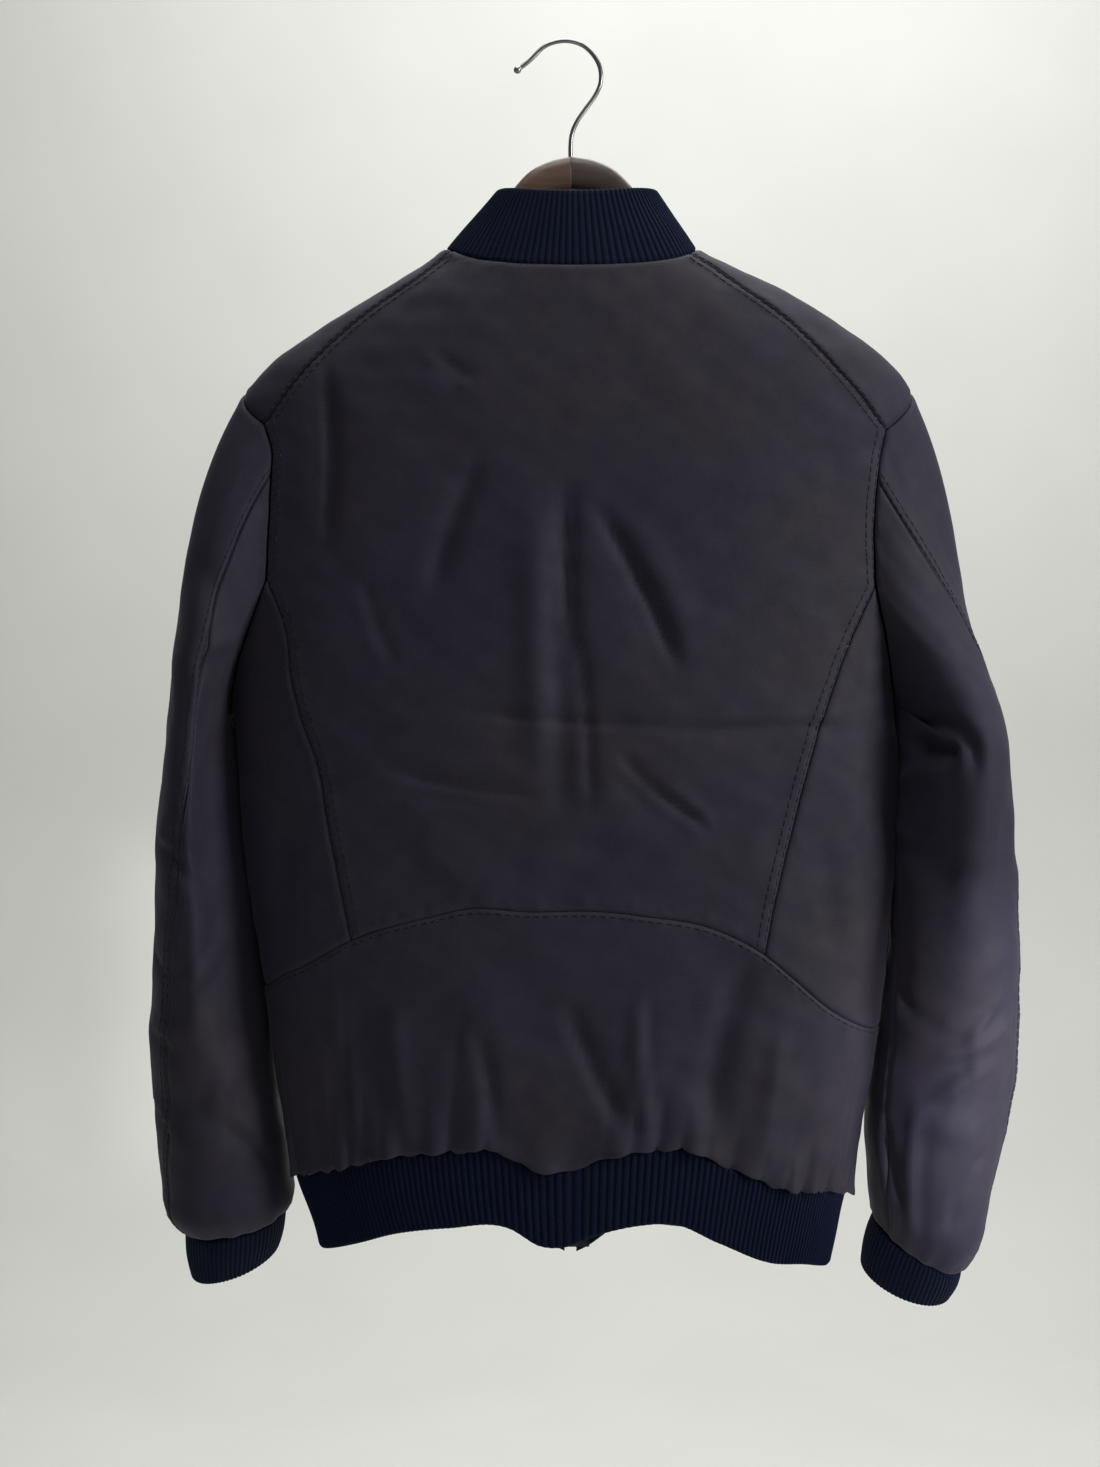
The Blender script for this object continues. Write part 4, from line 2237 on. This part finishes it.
        # The tab's eye is one face left out of the grid, below its middle.
        eye = Vector((0, -self.pull[2] / 5, 0))
        inner = min(tab.faces, key=lambda face: (face.calc_center_median() - eye).length)
        bmesh.ops.delete(tab, geom=[inner], context="FACES_ONLY")
        bmesh.ops.solidify(tab, geom=tab.faces[:], thickness=self.pull[1])
        bmesh.ops.translate(tab, vec=(0, 0, -self.pull[1] / 2), verts=tab.verts)
        sharp = [edge for edge in tab.edges
                 if len(edge.link_faces) == 2 and edge.calc_face_angle(0) > 1]
        round_edges(tab, sharp, self.pull_round)
        bmesh.ops.recalc_face_normals(tab, faces=tab.faces[:])
        tab.transform(Matrix.Rotation(np.radians(90), 4, "X"))
        low = self.above_pivot - self.pivot_drop - self.pull[2] / 2
        middle = Matrix.Translation((0, -thick - self.pivot_out, low))
        tab.transform(place @ middle)
        enter(link_mesh("zip_pull_tab", tab, ZINC), "zip_pull", rider="pull_tab")

    def build(self) -> None:
        """Makes the zip."""
        self.teeth()
        self.tapes()
        self.slider_and_pull()


# --------------------------------------------------------------- hanger and hook


@dataclass
class Hanger:
    """The two-part contour hanger and its wire hook."""

    middle: Triple = (-3.5 * MM, 0.0, -80.4 * MM)
    tilt: float = 2.0
    roundness: float = 0.75
    wire: float = 1.6 * MM
    ball: float = 2.7 * MM
    corners: int = 36
    wire_steps: int = 150

    def wood(self, half: Half, finish: Walnut) -> None:
        """One half of the hanger.

        Args:
            half: which half.
            finish: its wood.
        """
        outs = np.concatenate([[0.03, 0.4, 1.2], np.linspace(3, 196, 62), [198, 199.4, 200]])
        round_off = np.ones(len(outs))
        round_off[:2] = (0.985, 0.996)
        round_off[-2:] = (0.93, 0.8)
        read = {name: table_curve(HANGER, "out", name, outs)
                for name in ("drop", "high", "thick", "forward")}
        angle = np.radians(np.linspace(0, 360, self.corners + 1))
        up = signed_power(np.sin(angle), self.roundness)
        deep = signed_power(np.cos(angle), self.roundness)
        high = read["high"][:, None] / 2
        rings = np.stack([
            np.broadcast_to(half.sign * outs[:, None], (len(outs), len(angle))),
            deep * read["thick"][:, None] / 2 * round_off[:, None] - read["forward"][:, None],
            up * high * round_off[:, None] - high - read["drop"][:, None]], axis=-1) * MM
        made = closed_tube(rings, np.array([0, 0, -1.0]))
        tilt = Matrix.Rotation(np.radians(self.tilt), 4, "Y")
        made.transform(Matrix.Translation(self.middle) @ tilt)
        piece = link_mesh(f"hanger_{half.name}_walnut", made, finish)
        enter(piece, "hanger_" + half.name)

    def hook(self) -> None:
        """The hook: one bent wire that ends in a small ball."""
        knots = np.arange(len(HOOK), dtype=float)
        along = np.linspace(0, len(HOOK) - 1, self.wire_steps)
        x = smooth_curve(knots, column(HOOK, "across"), along) * MM
        z = smooth_curve(knots, column(HOOK, "height"), along) * MM
        route = np.stack([x, np.zeros_like(x), z], axis=-1)
        ways = unit(np.gradient(route, axis=0))
        # Rings that grow and shrink again along the ball, up to where the wire leaves it.
        tips = np.radians((2, 15, 30, 50, 70, 90, 110, 130, 143))
        places = [route[0] - ways[0] * self.ball * np.cos(tip) for tip in tips]
        radii = [self.ball * np.sin(tip) for tip in tips]
        start = int(np.argmax(np.linalg.norm(route - route[0], axis=1) > self.ball * 1.05))
        places = np.array(places + list(route[start:]))
        radii = np.array(radii + [self.wire] * (len(route) - start))
        ways = np.array([ways[0]] * len(tips) + list(ways[start:]))
        aside = unit(np.cross(ways, np.array([0, 1, 0])))
        angle = np.radians(np.linspace(0, 360, 17))
        around = (np.cos(angle)[None, :, None] * aside[:, None]
                  + np.sin(angle)[None, :, None] * np.array([0, 1, 0]))
        rings = places[:, None] + radii[:, None, None] * around
        made = closed_tube(rings, aside[len(aside) // 2] * -1)
        enter(link_mesh("hook_wire_bent", made, WIRE), "hook")

    def build(self) -> None:
        """Makes the hanger's halves and its hook."""
        self.wood(LEFT, WALNUT_LEFT)
        self.wood(RIGHT, WALNUT_RIGHT)
        self.hook()


# ------------------------------------------------------------------------- room


class LampKind(Enum):
    """A soft square lamp, or a soft-edged beam."""

    SQUARE = "AREA"
    BEAM = "SPOT"


class Lamp(NamedTuple):
    """A lamp aimed at a target: a square has its side in metres, a beam its angle."""

    name: str
    kind: LampKind
    place: Triple
    target: Triple
    width: float
    power: float


JACKET_MIDDLE = (0.0, 0.0, -0.45)
LAMPS = (
    Lamp("ceiling", LampKind.SQUARE, (0.1, 0.9, 1.6), JACKET_MIDDLE, 1.0, 14),
    Lamp("window", LampKind.SQUARE, (-1.7, 0.8, 0.3), JACKET_MIDDLE, 0.6, 21),
    Lamp("front_side", LampKind.SQUARE, (0.3, -2.0, 0.9), JACKET_MIDDLE, 1.6, 16),
    Lamp("wall_wash", LampKind.SQUARE, (-0.5, -1.1, 2.2), (-0.4, -3.4, -0.7), 2.6, 118),
    Lamp("low_window", LampKind.SQUARE, (-1.25, 0.55, -0.62), (0.05, 0.0, -0.74), 0.3, 5.4),
    Lamp("floor_glow", LampKind.SQUARE, (0.5, 1.25, -1.2), (0.05, 0.0, -0.72), 0.9, 1.5),
    Lamp("window_gap", LampKind.BEAM, (-0.95, 1.5, -0.55), (-0.33, 0.02, -0.735), 11, 215),
)


@dataclass
class Studio:
    """The pale room, its soft lamps and the camera."""

    lens: float = 46.92
    camera_place: Triple = (0.011, 1.35, -0.4875)
    floor: float = -1.7
    wall_back: float = -2.2
    bend: float = 1.2
    beam_edge: float = 0.8
    beam_softness: float = 0.06
    daylight: str = "#dcdedb"
    daylight_strength: float = 0.17

    def camera(self) -> None:
        """The camera, level and square to the back."""
        data = bpy.data.cameras.new("camera")
        data.lens = self.lens
        data.sensor_width = 36.0
        data.sensor_fit = "AUTO"
        camera = bpy.data.objects.new("camera", data)
        camera.location = self.camera_place
        camera.rotation_euler = (np.radians(90), 0, np.radians(180))
        bpy.context.scene.collection.objects.link(camera)
        bpy.context.scene.camera = camera

    def room(self) -> None:
        """A floor that curves up into a wall, far behind the jacket."""
        turns = np.radians(np.linspace(0, 90, 13))[1:]
        bend = np.stack([self.wall_back - self.bend * np.sin(turns),
                         self.floor + self.bend * (1 - np.cos(turns))], axis=-1)
        route = np.concatenate([[(7, self.floor), (self.wall_back, self.floor)], bend,
                                [(self.wall_back - self.bend, 4.0)]])
        grid = np.stack([np.insert(route, 0, x, axis=1) for x in (-9, 9)], axis=1)
        room = link_mesh("room", lay_grids([grid], np.array([0, 1.0, 1.0]), False), PLASTER)

    def hang(self, row: Lamp) -> None:
        """Hangs one lamp and turns it to its target.

        Args:
            row: the lamp.
        """
        data = bpy.data.lights.new(row.name, row.kind.value)
        data.energy = row.power
        if row.kind is LampKind.SQUARE:
            data.size = row.width
        else:
            data.spot_size = np.radians(row.width)
            data.spot_blend = self.beam_edge
            data.shadow_soft_size = self.beam_softness
        lamp = bpy.data.objects.new(row.name, data)
        lamp.location = row.place
        way = Vector(row.target) - Vector(row.place)
        lamp.rotation_euler = way.to_track_quat("-Z", "Y").to_euler()
        bpy.context.scene.collection.objects.link(lamp)

    def build(self) -> None:
        """Makes the room, the lamps, the sky and the camera."""
        self.camera()
        self.room()
        for row in LAMPS:
            self.hang(row)
        world = bpy.data.worlds.new("daylight")
        world.use_nodes = True
        shade = world.node_tree.nodes["Background"]
        shade.inputs["Color"].default_value = linear(self.daylight)
        shade.inputs["Strength"].default_value = self.daylight_strength
        bpy.context.scene.world = world
        bpy.context.scene.view_settings.view_transform = "Standard"


def main() -> None:
    """Builds the jacket, its hanger and the room."""
    logging.basicConfig(level=logging.INFO, format="%(message)s")
    for piece in (Studio(), BodyPanels()):
        piece.build()
    Sleeve(LEFT, SLEEVE_LEFT, SLEEVE_FOLDS_LEFT + SLEEVE_CREASES_LEFT,
           Cut(0.25, 0.61, 0.099, ("front_left", "back")),
           Cut(0.31, 0.56, 0.065, ("side_back_left", "back"))).build()
    Sleeve(RIGHT, SLEEVE_RIGHT, SLEEVE_FOLDS_RIGHT + SLEEVE_CREASES_RIGHT,
           Cut(0.25, 0.63, 0.109, ("front_right", "back")),
           Cut(0.3, 0.6, 0.067, ("side_back_right", "back"))).build()
    for piece in (Ribs(), Zip(), Hanger()):
        piece.build()


if __name__ == "__main__":
    main()
